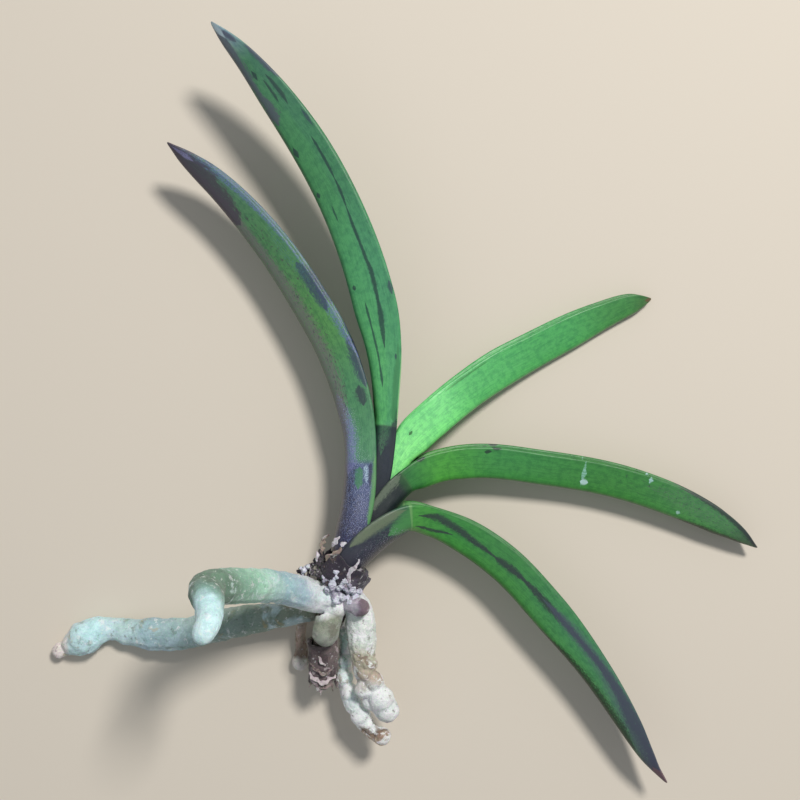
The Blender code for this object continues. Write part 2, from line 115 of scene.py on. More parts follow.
# %% [markdown]
# ## Material tools
#
# `Shade` wraps a node tree in short calls. The same nodes could be laid out by hand in the shader
# editor, but living skin needs dozens of layers, and calls can be repeated for each piece. Every
# pattern reads the object's own coordinates, its UV map or a stored attribute, so it stays on the
# surface from any side.

# %% Building a material
GLOW_COLOURS = (0.3, 1.0, 0.3)
GLOW_DEPTH = 0.6


class Shade:
    """A material under construction."""

    def __init__(self, name, roughness, sheen=0.0, subsurface=0.0):
        self.material = bpy.data.materials.new(name)
        self.material.use_nodes = True
        self.nodes = self.material.node_tree.nodes
        self.links = self.material.node_tree.links
        self.shader = self.nodes["Principled BSDF"]
        self.shader.inputs["Roughness"].default_value = roughness
        self.shader.inputs["Sheen Weight"].default_value = sheen
        self.shader.inputs["Subsurface Weight"].default_value = subsurface
        self.shader.inputs["Subsurface Radius"].default_value = GLOW_COLOURS
        self.shader.inputs["Subsurface Scale"].default_value = GLOW_DEPTH * MM

    def put(self, socket, value):
        """Set a socket, or link it when the value is another node's socket."""
        if isinstance(value, bpy.types.NodeSocket):
            self.links.new(value, socket)
        else:
            socket.default_value = value

    def math(self, operation, first, second=0.0, third=0.0):
        node = self.nodes.new("ShaderNodeMath")
        node.operation = operation
        for socket, value in zip(node.inputs, (first, second, third)):
            self.put(socket, value)
        return node.outputs[0]

    def rise(self, value, low, high):
        """0 below low, 1 above high, smooth between. A low above high falls instead."""
        node = self.nodes.new("ShaderNodeMapRange")
        node.interpolation_type = "SMOOTHSTEP"
        self.put(node.inputs["Value"], value)
        node.inputs["From Min"].default_value = min(low, high)
        node.inputs["From Max"].default_value = max(low, high)
        node.inputs["To Min"].default_value = 0.0 if low < high else 1.0
        node.inputs["To Max"].default_value = 1.0 if low < high else 0.0
        return node.outputs["Result"]

    def attribute(self, name):
        node = self.nodes.new("ShaderNodeAttribute")
        node.attribute_name = name
        return node.outputs["Fac"]

    def place(self, kind, stretch=(1.0, 1.0, 1.0)):
        """The UV or object coordinates, scaled on each axis."""
        coordinates = self.nodes.new("ShaderNodeTexCoord")
        mapping = self.nodes.new("ShaderNodeMapping")
        self.links.new(coordinates.outputs[kind], mapping.inputs["Vector"])
        mapping.inputs["Scale"].default_value = stretch
        return mapping.outputs["Vector"]

    def noise(self, place, scale, detail=3.0, roughness=0.55, distortion=0.0):
        node = self.nodes.new("ShaderNodeTexNoise")
        self.links.new(place, node.inputs["Vector"])
        node.inputs["Scale"].default_value = scale
        node.inputs["Detail"].default_value = detail
        node.inputs["Roughness"].default_value = roughness
        node.inputs["Distortion"].default_value = distortion
        return node.outputs["Fac"]

    def blend(self, share, first, second, mode="MIX"):
        """Mix two colours."""
        node = self.nodes.new("ShaderNodeMix")
        node.data_type = "RGBA"
        node.blend_type = mode
        self.put(node.inputs["Factor"], share)
        for socket, colour in ((node.inputs["A"], first), (node.inputs["B"], second)):
            self.put(socket, (*colour, 1.0) if isinstance(colour, tuple) else colour)
        return node.outputs["Result"]

    def ramp(self, value, stops, kind="EASE"):
        """A colour that changes with a value, through (place, colour) stops."""
        node = self.nodes.new("ShaderNodeValToRGB")
        node.color_ramp.interpolation = kind
        self.put(node.inputs["Fac"], value)
        elements = node.color_ramp.elements
        while len(elements) < len(stops):
            elements.new(1.0)
        for element, (place, colour) in zip(elements, stops):
            element.position = place
            element.color = (*colour, 1.0)
        return node.outputs["Color"]

    def colour(self, value):
        self.put(self.shader.inputs["Base Color"], value)

    def bump(self, height, distance, strength=1.0):
        node = self.nodes.new("ShaderNodeBump")
        node.inputs["Strength"].default_value = strength
        node.inputs["Distance"].default_value = distance
        self.put(node.inputs["Height"], height)
        self.put(self.shader.inputs["Normal"], node.outputs["Normal"])


def srgb(red, green, blue):
    """A colour as a picture shows it, 0 to 255, turned into the linear values that shaders use."""
    def linear(value):
        value /= 255.0
        return value / 12.92 if value <= 0.04045 else ((value + 0.055) / 1.055) ** 2.4

    return (linear(red), linear(green), linear(blue))


# %% [markdown]
# ## Leaves
#
# A wind orchid's leaf is folded in two along its keel. Its base clasps the next leaf as a sheath,
# and after a joint line it bends out as a blade. Each row below holds x, y and height of the leaf's
# middle, its width seen from above, half the gap of the fold at the keel, the angle at which each
# flank spreads, and the angle by which the fold turns its open side upward. The middle of the fan
# falls a little to the right, and a row that lies ON_FAN belongs to the sheath.
#
# A leaf could be bent from a long box with curve modifiers. A grid whose rings are set one by one
# was chosen, because each point then knows how far along and across the leaf it lies, and the
# leaf's colours need both.

# %% Rows of the leaves
FAN_X = -6.5
FAN_HEIGHT = 8.6
FAN_FALL = 0.12
ON_FAN = None

LEAVES = {
    "leaf_1_right": {
        "side": 1,
        "rows": [
            (-7.4, -22.6, ON_FAN, 4.6, 3.65, 0, 0), (-6.6, -21.2, ON_FAN, 4.7, 3.65, 0, 0),
            (-4.6, -19.1, ON_FAN, 4.8, 3.45, 6, 0), (-1.6, -16.9, ON_FAN, 4.6, 2.9, 14, 0),
            (1.1, -15.7, ON_FAN, 4.2, 2.1, 19, 0), (4.4, -16.5, 6.9, 4.3, 1.2, 15, 0),
            (9.7, -18.9, 6.5, 5.2, 0.75, 12, 4), (14.4, -22.2, 6.6, 5.5, 0.7, 11, 7),
            (20.5, -28.6, 6.9, 5.6, 0.7, 12, 9), (26.7, -36.4, 6.8, 4.7, 0.7, 13, 10),
            (31.5, -43.9, 6.4, 3.8, 0.65, 16, 10), (34.1, -48.6, 6.1, 2.5, 0.55, 22, 10),
            (35.4, -50.7, 5.9, 1.5, 0.5, 34, 10), (36.8, -52.7, 5.8, 0.9, 0.45, 42, 10),
        ],
    },
    "leaf_2_left": {
        "side": -1,
        "rows": [
            (-8.0, -21.0, ON_FAN, 3.1, 2.85, 0, 0), (-7.1, -18.9, ON_FAN, 3.9, 2.85, 0, 0),
            (-6.2, -16.2, ON_FAN, 4.4, 2.85, 0, 0), (-5.5, -12.2, ON_FAN, 4.5, 2.35, 7, 0),
            (-5.3, -8.3, ON_FAN, 4.4, 1.75, 12, 0), (-5.4, -4.7, 8.4, 4.5, 1.3, 15, 0),
            (-5.9, -1.3, 8.5, 5.1, 1.0, 15, 2), (-8.4, 6.8, 8.3, 5.8, 0.75, 13, 8),
            (-12.1, 13.6, 8.0, 5.7, 0.7, 13, 12), (-18.1, 22.4, 7.8, 5.2, 0.7, 14, 14),
            (-25.8, 30.6, 8.3, 3.8, 0.65, 17, 14), (-29.0, 33.1, 8.7, 2.4, 0.55, 24, 14),
            (-31.4, 34.8, 9.0, 0.9, 0.45, 42, 14),
        ],
    },
    "leaf_3_right": {
        "side": 1,
        "rows": [
            (-5.1, -18.9, ON_FAN, 3.9, 2.05, 0, 0), (-3.7, -16.3, ON_FAN, 3.9, 2.05, 0, 0),
            (-2.2, -14.0, ON_FAN, 3.9, 2.05, 0, 0), (-0.7, -12.1, ON_FAN, 3.9, 1.85, 7, 0),
            (0.6, -10.9, ON_FAN, 3.8, 1.45, 12, 0), (2.6, -9.9, 7.35, 4.5, 1.1, 13, 0),
            (5.4, -8.9, 6.7, 4.7, 0.85, 12, 3), (9.7, -8.3, 5.9, 5.0, 0.7, 11, 6),
            (20.5, -9.3, 4.8, 5.1, 0.7, 11, 10), (30.7, -11.2, 4.3, 5.1, 0.7, 11, 10),
            (37.1, -13.3, 3.9, 5.0, 0.7, 11, 10), (43.7, -16.3, 3.4, 4.3, 0.7, 13, 10),
            (47.0, -18.2, 3.1, 3.0, 0.6, 18, 10), (50.2, -20.7, 2.7, 0.9, 0.45, 42, 10),
        ],
    },
    "leaf_4_left": {
        "side": -1,
        "rows": [
            (-4.9, -16.6, ON_FAN, 2.9, 1.25, 0, 0), (-3.7, -13.5, ON_FAN, 3.2, 1.25, 0, 0),
            (-2.8, -10.2, ON_FAN, 3.5, 1.25, 0, 0), (-2.3, -6.8, ON_FAN, 3.5, 1.25, 0, 0),
            (-1.9, -3.4, ON_FAN, 3.3, 1.2, 4, 0), (-1.8, 0.0, 8.7, 3.6, 1.05, 9, 0),
            (-2.0, 6.7, 9.3, 5.0, 0.9, 12, 3), (-3.2, 13.4, 9.9, 6.4, 0.8, 13, 7),
            (-7.8, 26.6, 10.9, 6.0, 0.75, 13, 11), (-11.25, 33.1, 11.4, 5.8, 0.75, 13, 12),
            (-15.65, 39.6, 12.0, 5.1, 0.7, 14, 12), (-20.85, 46.0, 12.7, 3.2, 0.6, 22, 12),
            (-24.8, 49.7, 13.0, 1.1, 0.45, 42, 12),
        ],
    },
    "leaf_5_right": {
        "side": 1,
        "rows": [
            (-3.3, -14.0, ON_FAN, 2.5, 0.45, 0, 0), (-2.4, -12.2, ON_FAN, 3.1, 0.45, 0, 0),
            (-1.2, -9.8, ON_FAN, 3.5, 0.45, 0, 0), (-0.2, -7.6, ON_FAN, 3.9, 0.45, 0, 0),
            (2.0, -4.7, 7.6, 5.4, 0.5, 3, 0), (5.1, -1.9, 6.8, 5.5, 0.6, 8, 0),
            (9.4, 1.5, 4.8, 5.6, 0.7, 10, 3), (13.9, 4.5, 3.2, 5.8, 0.7, 10, 6),
            (18.8, 7.2, 2.2, 5.5, 0.7, 10, 8), (23.8, 9.8, 1.75, 5.2, 0.7, 10, 8),
            (28.5, 12.1, 1.5, 4.3, 0.7, 11, 8), (33.0, 13.9, 1.4, 3.2, 0.6, 15, 8),
            (35.6, 14.4, 1.25, 1.5, 0.5, 30, 8),
        ],
    },
}

KEEL_SQUASH = 0.6
TIGHTEST_CURVE = 0.4
FLANK_BEND = math.radians(14)
SOLID_WALL = 0.6
WIDTH_HALVINGS = 18
RING_STEP = 0.75
COLUMNS = 33
HALF_SAMPLES = 24
DIRECTION_REACH = 0.05

KEEL_WALL = 0.68
MARGIN_WALL = 0.42
SHEATH_WALL = 0.52
TIP_WALL = 0.3
TIP_SMALLEST = 0.12
JOINT_RIDGE = 0.14
JOINT_RIDGE_WIDTH = 0.5
TIP_LENGTH = 2.6
TIP_THINNING = 3.9
SHEATH_END = 0.5
BLADE_START = 3.0

print(len(LEAVES), "leaves with", sum(len(leaf["rows"]) for leaf in LEAVES.values()), "rows")


# %% [markdown]
# ### A smooth line through the rows
#
# A leaf curves without kinks. A Bezier curve object could carry the middle line, but the widths and
# angles have to change just as smoothly. So every column of the rows is read with the same cubic
# formula. x and y may swing a little between rows; heights, widths and angles never overshoot.

# %% A smooth line through rows
def fan_height(x):
    """Height of the fan's middle plane."""
    return FAN_HEIGHT - FAN_FALL * (x - FAN_X)


FAN_NORMAL = Vector((FAN_FALL, 0.0, 1.0)).normalized()


def flat_slopes(places, values):
    """Slopes that keep level stretches level and never overshoot."""
    secants = np.diff(values) / np.diff(places)
    slopes = np.zeros(len(values))
    slopes[0], slopes[-1] = secants[0], secants[-1]
    for index in range(1, len(values) - 1):
        before, after = secants[index - 1], secants[index]
        if before * after > 0.0:
            slopes[index] = 2.0 * before * after / (before + after)
    return slopes


def distances(points):
    """How far each point lies along the line through them all."""
    steps = np.linalg.norm(np.diff(points, axis=0), axis=1)
    return np.concatenate([[0.0], np.cumsum(steps)])


def between(places, columns, where):
    """The value of each (column, slopes) pair at a place, on smooth curves through the rows."""
    span = int(np.clip(np.searchsorted(places, where) - 1, 0, len(places) - 2))
    step = places[span + 1] - places[span]
    t = (where - places[span]) / step
    return [
        (1 + 2 * t) * (1 - t) ** 2 * column[span] + t * (1 - t) ** 2 * step * slopes[span]
        + t * t * (3 - 2 * t) * column[span + 1] + t * t * (t - 1) * step * slopes[span + 1]
        for column, slopes in columns
    ]


class Line:
    """A smooth line through rows of x, y, height and other values, read by distance along it."""

    def __init__(self, rows):
        table = np.array([
            [fan_height(row[0]) if value is ON_FAN else value for value in row] for row in rows
        ])
        self.places = distances(table[:, :3])
        self.length = self.places[-1]
        self.joint = self.places[max(index for index, row in enumerate(rows) if row[2] is ON_FAN)]
        table[:, 2] -= [fan_height(x) for x in table[:, 0]]
        self.columns = [(column, np.gradient(column, self.places)) for column in table.T[:2]]
        self.columns += [(column, flat_slopes(self.places, column)) for column in table.T[2:]]

    def read(self, where):
        """The middle point and the other values at a distance along the line."""
        x, y, lift, *others = between(self.places, self.columns, where)
        return Vector((x, y, lift + fan_height(x))), others

    def direction(self, where):
        before, _ = self.read(max(where - DIRECTION_REACH, 0.0))
        after, _ = self.read(min(where + DIRECTION_REACH, self.length))
        return (after - before).normalized()


print("the fan's middle is", round(fan_height(0.0), 2), "mm high below the camera")


# %% [markdown]
# ### The fold
#
# Cut across, a leaf is a narrow V with a rounded keel and slightly bent flanks. Half of it is
# walked point by point, first round the keel and then up the flank. How long the flank must be for
# the width seen from above has no short formula, so it is found by halving a range again and again.

# %% Section of a folded leaf
def half_section(flank, fold, spread):
    """Half a leaf's section from keel to margin, as (across, forward) points."""
    squash = max(KEEL_SQUASH, math.sqrt(TIGHTEST_CURVE / fold))
    sweep = math.atan2(math.cos(spread), squash * math.sin(spread))
    half = []
    for step in range(HALF_SAMPLES + 1):
        turn = sweep * step / HALF_SAMPLES
        half.append((fold * math.sin(turn), squash * fold * (1 - math.cos(turn))))
    bend = min(spread, FLANK_BEND)
    across, forward = half[-1]
    for step in range(HALF_SAMPLES):
        lean = spread + bend * (0.5 - (step + 0.5) / HALF_SAMPLES)
        across += math.sin(lean) * flank / HALF_SAMPLES
        forward += math.cos(lean) * flank / HALF_SAMPLES
        half.append((across, forward))
    return np.array(half)


def turned(points, turn, sign):
    """One half of a section turned about the leaf: (inward, lift) points."""
    across, forward = points[:, 0] * sign, points[:, 1]
    c, s = math.cos(turn), math.sin(turn)
    return np.stack([forward * c - across * s, across * c + forward * s], axis=1)


def fitted_half(width, fold, spread, turn):
    """The half section whose flank is just long enough for the width seen from above."""
    short, long = 0.0, 2.0 * width
    for _ in range(WIDTH_HALVINGS):
        flank = (short + long) / 2
        half = half_section(flank, fold, spread)
        reach = np.concatenate([turned(half, turn, sign)[:, 0] for sign in (-1, 1)])
        if reach.max() - reach.min() + SOLID_WALL < width:
            short = flank
        else:
            long = flank
    return half


def leaf_ring(line, where, side):
    """Points from the rear margin over the keel to the front margin, and the ring's half length."""
    middle, (width, fold, spread, turn) = line.read(where)
    along = line.direction(where)
    normal = (FAN_NORMAL - along * FAN_NORMAL.dot(along)).normalized()
    inward = normal.cross(along) * side
    turn = math.radians(turn)
    half = fitted_half(width, fold, math.radians(spread), turn)
    lengths = distances(half)
    both = np.concatenate([turned(half, turn, sign) for sign in (-1, 1)])
    centre = (both.max(axis=0) + both.min(axis=0)) / 2
    left = line.length - where
    taper = math.sqrt(max(1.0 - (1.0 - left / TIP_LENGTH) ** 2, 0.0)) if left < TIP_LENGTH else 1.0
    taper = max(taper, TIP_SMALLEST)
    ring = []
    for column in range(COLUMNS):
        share = 2.0 * column / (COLUMNS - 1) - 1.0
        reach = abs(share) * lengths[-1]
        spot = np.array([[np.interp(reach, lengths, values) for values in half.T]])
        point = turned(spot, turn, 1 if share > 0 else -1)[0] - centre
        ring.append(middle + (inward * point[0] + normal * point[1]) * taper)
    return ring, lengths[-1]


# %% [markdown]
# ### From a grid to a leaf
#
# A real leaf is thickest at its keel and thin toward its margins and tip. Both of its faces could
# be built point by point. It is simpler to move a flat grid onto the rings, to let a vertex group
# tell Solidify how thick the leaf is at each point, and to round the rim with a subdivision.

# %% Leaf from a grid
def leaf_wall(share, where, line):
    """Thickness of a leaf: thick at the keel, thin at margins and tip, ridged at the joint."""
    blade = mix(KEEL_WALL, MARGIN_WALL, abs(share) ** 1.5)
    wall = mix(SHEATH_WALL, blade, ease(where, line.joint - SHEATH_END, line.joint + BLADE_START))
    wall += JOINT_RIDGE * math.exp(-((where - line.joint) / JOINT_RIDGE_WIDTH) ** 2)
    return mix(TIP_WALL, wall, ease(line.length - where, 0.0, TIP_THINNING))


def store(mesh, name, values):
    """Keep one number for each vertex as an attribute that a material can read."""
    layer = mesh.attributes.new(name, "FLOAT", "POINT")
    layer.data.foreach_set("value", np.array(values, dtype=np.float32))


def make_leaf(name, material, slot):
    """Shape a grid into a folded leaf, thicken it and smooth it."""
    leaf = LEAVES[name]
    line = Line(leaf["rows"])
    rings = round(line.length / RING_STEP) + 1
    bpy.ops.mesh.primitive_grid_add(x_subdivisions=rings - 1, y_subdivisions=COLUMNS - 1, size=2.0)
    piece = bpy.context.object
    piece.name = name + "_leaf"
    mesh = piece.data
    shaped = []
    for index in range(rings):
        where = line.length * index / (rings - 1)
        shaped.append((where, *leaf_ring(line, where, leaf["side"])))
    widest = max(half for _, _, half in shaped)
    walls, alongs, shares = [], [], []
    for vertex in mesh.vertices:
        index = round((vertex.co.x + 1) / 2 * (rings - 1))
        column = round((vertex.co.y + 1) / 2 * (COLUMNS - 1))
        where, ring, _ = shaped[index]
        share = 2.0 * column / (COLUMNS - 1) - 1.0
        vertex.co = to_metres(ring[column])
        walls.append(leaf_wall(share, where, line))
        alongs.append(where)
        shares.append(share)
    store(mesh, "along", alongs)
    store(mesh, "share", shares)
    for loop, texel in zip(mesh.loops, mesh.uv_layers.active.data):
        texel.uv = (alongs[loop.vertex_index] / 100.0, shares[loop.vertex_index] * widest / 100.0)
    thick = piece.vertex_groups.new(name="thickness")
    for index, wall in enumerate(walls):
        thick.add([index], wall / max(walls), "REPLACE")
    solidify = piece.modifiers.new("thickness", "SOLIDIFY")
    solidify.thickness = max(walls) * MM
    solidify.offset = 0.0
    solidify.vertex_group = "thickness"
    solidify.use_even_offset = True
    smooth = piece.modifiers.new("smooth", "SUBSURF")
    smooth.levels = smooth.render_levels = 1
    apply_all(piece)
    piece.vertex_groups.clear()
    finish_piece(piece, material, slot, name)


# %% [markdown]
# ### Leaf material
#
# A leaf's skin is painted in layers: a colour that changes along the leaf, a tint that changes
# from keel to margin and is painted shade, darker at the keel and margin sides and lighter in the
# middle, fine cells and lengthwise veins, and then a list of marks. Wind orchids carry dark purple
# pigment in streaks and mottles. These could be painted on an image, but each mark is given as rows
# instead, so that it stays sharp at any size: (place along the leaf in mm, share of the way from
# keel to margin, half its width as a share).
#
# `scale` and `ragged` break up the edge of a mark, and `soft` blurs it. `holes` and `cover` tear
# it open until about the share `cover` is left, and a low `strength` lets the skin show through.

# %% Marks on a leaf
Mark = namedtuple("Mark", "colour rows cover holes scale ragged soft strength",
                  defaults=(0.88, 520.0, 420.0, 3.6, 0.45, 0.84))
NO_WIDTH = 0.002
FULL_WIDTH = 0.012
HOLE_LEVEL = 0.67
HOLE_RANGE = 0.4
HOLE_EDGE = 0.1


def follow(shade, along, length, rows, column):
    """One column of a mark's rows, as a value that changes along the leaf."""
    stops = [(min(row[0] / length, 1.0), (row[column],) * 3) for row in rows]
    return shade.ramp(shade.math("DIVIDE", along, length), stops, "LINEAR")


def paint_mark(shade, colour, across, along, length, mark):
    """Paint one mark over the colour so far."""
    centre = follow(shade, along, length, mark.rows, 1)
    half = follow(shade, along, length, mark.rows, 2)
    grain = shade.noise(shade.place("UV", (0.45, 1.0, 1.0)), mark.scale, 6.0, 0.78)
    ragged = shade.math("MULTIPLY_ADD", grain, mark.ragged, -0.5 * mark.ragged)
    offset = shade.math("ABSOLUTE", shade.math("SUBTRACT", across, centre))
    reach = shade.math("DIVIDE", offset, shade.math("MAXIMUM", half, NO_WIDTH))
    inside = shade.rise(shade.math("ADD", reach, ragged), 1.0 + mark.soft, 1.0 - mark.soft)
    inside = shade.math("MULTIPLY", inside, shade.rise(half, NO_WIDTH, FULL_WIDTH))
    holes = shade.noise(shade.place("UV", (0.6, 1.0, 1.0)), mark.holes, 5.0, 0.75)
    open_below = HOLE_LEVEL - HOLE_RANGE * mark.cover
    inside = shade.math("MULTIPLY", inside, shade.rise(holes, open_below, open_below + HOLE_EDGE))
    return shade.blend(shade.math("MULTIPLY", inside, mark.strength), colour, mark.colour)


# %% [markdown]
# Under the marks lies the plain skin. Its colours run along the leaf, and tints for the keel and
# the margin are multiplied over them, so that each can be changed alone. These tints are painted
# shade: they darken the sides of the fold that turn away from the light and leave its middle
# lighter. Three noises stand for clouding, lengthwise veins and cells, and the last two also raise
# a very fine relief.

# %% Skin of a leaf
CLOUD_SCALE = 110.0
VEIN_SCALE = 520.0
CELL_SCALE = 1300.0
CLOUD_TINT = (0.70, 0.78, 0.84)
VEIN_TINT = (0.80, 0.86, 0.86)
CELL_TINT = (1.22, 1.16, 1.22)
VEIN_DEPTH = 0.03
LINE_WIDTH = 0.11


def leaf_material(name, stops, shading_tints, marks, joint, length, joint_strength=0.06, roughness=0.40):
    """A leaf's skin: colours along it, tints of painted shade across it, cells, veins, marks and
    the joint line.
    """
    shade = Shade(name, roughness, subsurface=0.06)
    along = shade.attribute("along")
    across = shade.math("ABSOLUTE", shade.attribute("share"))
    uv = shade.place("UV")
    wobble = shade.math("MULTIPLY_ADD", shade.noise(uv, 60.0, 2.0), 0.10, -0.05)
    stops = [(place / length, tone) for place, tone in stops]
    colour = shade.ramp(shade.math("DIVIDE", along, length), stops)
    # painted shade across the fold: keel and margin sides darker, the middle lighter
    tint = shade.ramp(shade.math("ADD", across, wobble), shading_tints)
    colour = shade.blend(1.0, colour, tint, "MULTIPLY")
    cloud = shade.noise(uv, CLOUD_SCALE, 6.0, 0.7)
    veins = shade.noise(shade.place("UV", (0.06, 1.0, 1.0)), VEIN_SCALE, 2.0, 0.6)
    cells = shade.noise(uv, CELL_SCALE, 2.0, 0.6)
    colour = shade.blend(shade.rise(cloud, 0.42, 0.62), colour, CLOUD_TINT, "MULTIPLY")
    colour = shade.blend(shade.rise(veins, 0.48, 0.66), colour, VEIN_TINT, "MULTIPLY")
    colour = shade.blend(shade.rise(cells, 0.50, 0.68), colour, CELL_TINT, "MULTIPLY")
    for mark in marks:
        colour = paint_mark(shade, colour, across, along, length, mark)
    offset = shade.math("ABSOLUTE", shade.math("SUBTRACT", along, joint))
    line = shade.rise(offset, LINE_WIDTH * 1.6, LINE_WIDTH * 0.6)
    line = shade.math("MULTIPLY", line, joint_strength)
    colour = shade.blend(line, colour, JOINT_PALE)
    shade.colour(colour)
    height = shade.math("ADD", veins, shade.math("MULTIPLY", cells, 0.6))
    shade.bump(height, VEIN_DEPTH * MM)
    print(name, "has", len(marks), "marks and", len(shade.nodes), "nodes")
    return shade.material


def leaf_facts(name):
    """Where a leaf's joint lies and how long the leaf is, in mm."""
    line = Line(LEAVES[name]["rows"])
    return float(line.joint), float(line.length)


# %% Colours of the leaves
JOINT_PALE = srgb(128, 178, 112)
NIGHT_PURPLE = srgb(46, 42, 60)
NIGHT_GREEN = srgb(34, 46, 50)
DUSK_BLUE = srgb(52, 62, 92)
# blue-purple: purple pigment with a painted bluish reflection
PURPLE_AND_SHEEN_BLUE = srgb(98, 114, 160)
VIOLET = srgb(116, 120, 170)
GREY_PURPLE = srgb(106, 104, 104)
# painted shade across a leaf: the keel and margin sides darker than the middle
PLAIN_SHADING_TINTS = [
    (0, (0.8, 0.8, 0.7)), (0.14, (1, 1, 0.95)), (0.9, (1, 1, 1)), (1, (0.82, 0.88, 0.86)),
]

# %% [markdown]
# ### The lower right leaf
#
# Its sheath is almost black with an olive band, and its blade carries the boldest purple streak.
# The streak starts as two strands at the joint and widens into the dark tip. This is the only
# leaf whose joint clearly shows as a pale line, so its joint strength is set far above the others'.

# %% Lower right leaf
joint, length = leaf_facts("leaf_1_right")
leaf_1_skin = leaf_material("leaf_1_skin", [
    (0, srgb(44, 42, 56)), (4, srgb(58, 62, 72)), (joint - 2.5, srgb(62, 84, 78)),
    (joint - 0.4, srgb(74, 122, 80)), (joint + 0.4, srgb(80, 158, 70)), (18, srgb(64, 142, 66)),
    (26, srgb(66, 138, 70)), (40, srgb(72, 142, 86)), (54, srgb(84, 140, 98)),
    (length, srgb(96, 96, 104)),
], [
    # painted shade: a dark olive keel side, a lighter middle and a darker margin side
    (0, (0.42, 0.48, 0.3)), (0.12, (0.72, 0.86, 0.5)), (0.25, (1.05, 1.08, 0.85)),
    (0.5, (0.98, 1, 1)), (0.9, (0.92, 0.95, 1)), (1, (0.72, 0.82, 0.86)),
], [
    Mark(srgb(44, 44, 60), [
        (0, 0.45, 0.5), (4, 0.42, 0.38), (8, 0.44, 0.32), (joint - 1, 0.4, 0.26),
        (joint - 0.2, 0.4, 0),
    ], cover=0.6, holes=260.0, scale=200.0, soft=0.4),
    Mark(srgb(112, 126, 100), [
        (2.5, 0.92, 0), (4, 0.9, 0.09), (7, 0.88, 0.12), (joint - 2, 0.88, 0.11),
        (joint - 0.3, 0.9, 0),
    ], strength=0.75, soft=0.5, ragged=2.0),
    Mark(srgb(74, 142, 80), [
        (joint - 4, 0.55, 0), (joint - 2.6, 0.55, 0.14), (joint - 0.1, 0.5, 0.3), (joint, 0.5, 0),
    ], soft=0.7, strength=0.9, ragged=3.0),
    Mark(srgb(206, 202, 226), [
        (1, 0.36, 0), (2, 0.36, 0.3), (8.5, 0.3, 0.3), (joint - 0.5, 0.3, 0),
    ], cover=0.3, holes=900.0, strength=0.85, ragged=2.0),
    Mark(srgb(150, 146, 182), [
        (3, 0.16, 0), (5, 0.14, 0.12), (joint - 1, 0.14, 0.12), (joint, 0.14, 0),
    ], cover=0.5, holes=700.0, strength=0.8),
    Mark(NIGHT_PURPLE, [
        (11.8, 0.7, 0), (13.2, 0.74, 0.06), (14.6, 0.78, 0.11), (16.6, 0.7, 0.11), (19, 0.62, 0.1),
        (21.2, 0.55, 0.08), (23.4, 0.54, 0.045), (24.6, 0.54, 0.02), (25.4, 0.54, 0.08),
        (27.6, 0.57, 0.1), (29.8, 0.6, 0.04), (31.6, 0.62, 0.08), (34.4, 0.63, 0.1),
        (37, 0.66, 0.09), (41, 0.71, 0.08), (45, 0.78, 0.1), (50, 0.8, 0.16), (54, 0.74, 0.3),
        (length, 0.6, 0.6),
    ]),
    Mark(NIGHT_PURPLE, [
        (11.6, 0.4, 0), (13, 0.38, 0.035), (15.2, 0.36, 0.05), (17, 0.42, 0.03), (18.2, 0.46, 0),
    ]),
    Mark(srgb(84, 88, 112), [
        (33, 0.64, 0), (38, 0.7, 0.14), (46, 0.78, 0.2), (54, 0.7, 0.4), (length, 0.6, 0.6),
    ], strength=0.5, soft=0.6),
    Mark(srgb(38, 46, 36), [
        (36, 0.05, 0), (41, 0.08, 0.12), (48, 0.1, 0.2), (55, 0.12, 0.24), (58, 0.2, 0),
    ], cover=0.8),
    Mark(srgb(96, 134, 112), [
        (54, 0.4, 0), (56, 0.42, 0.2), (59, 0.45, 0.2), (61, 0.5, 0),
    ], cover=0.4, strength=0.7),
    Mark(srgb(112, 84, 92), [(61, 0.5, 0), (62.5, 0.5, 0.7), (length, 0.5, 1)], ragged=0.5),
], joint, length, 0.55)
make_leaf("leaf_1_right", leaf_1_skin, "leaf_green")
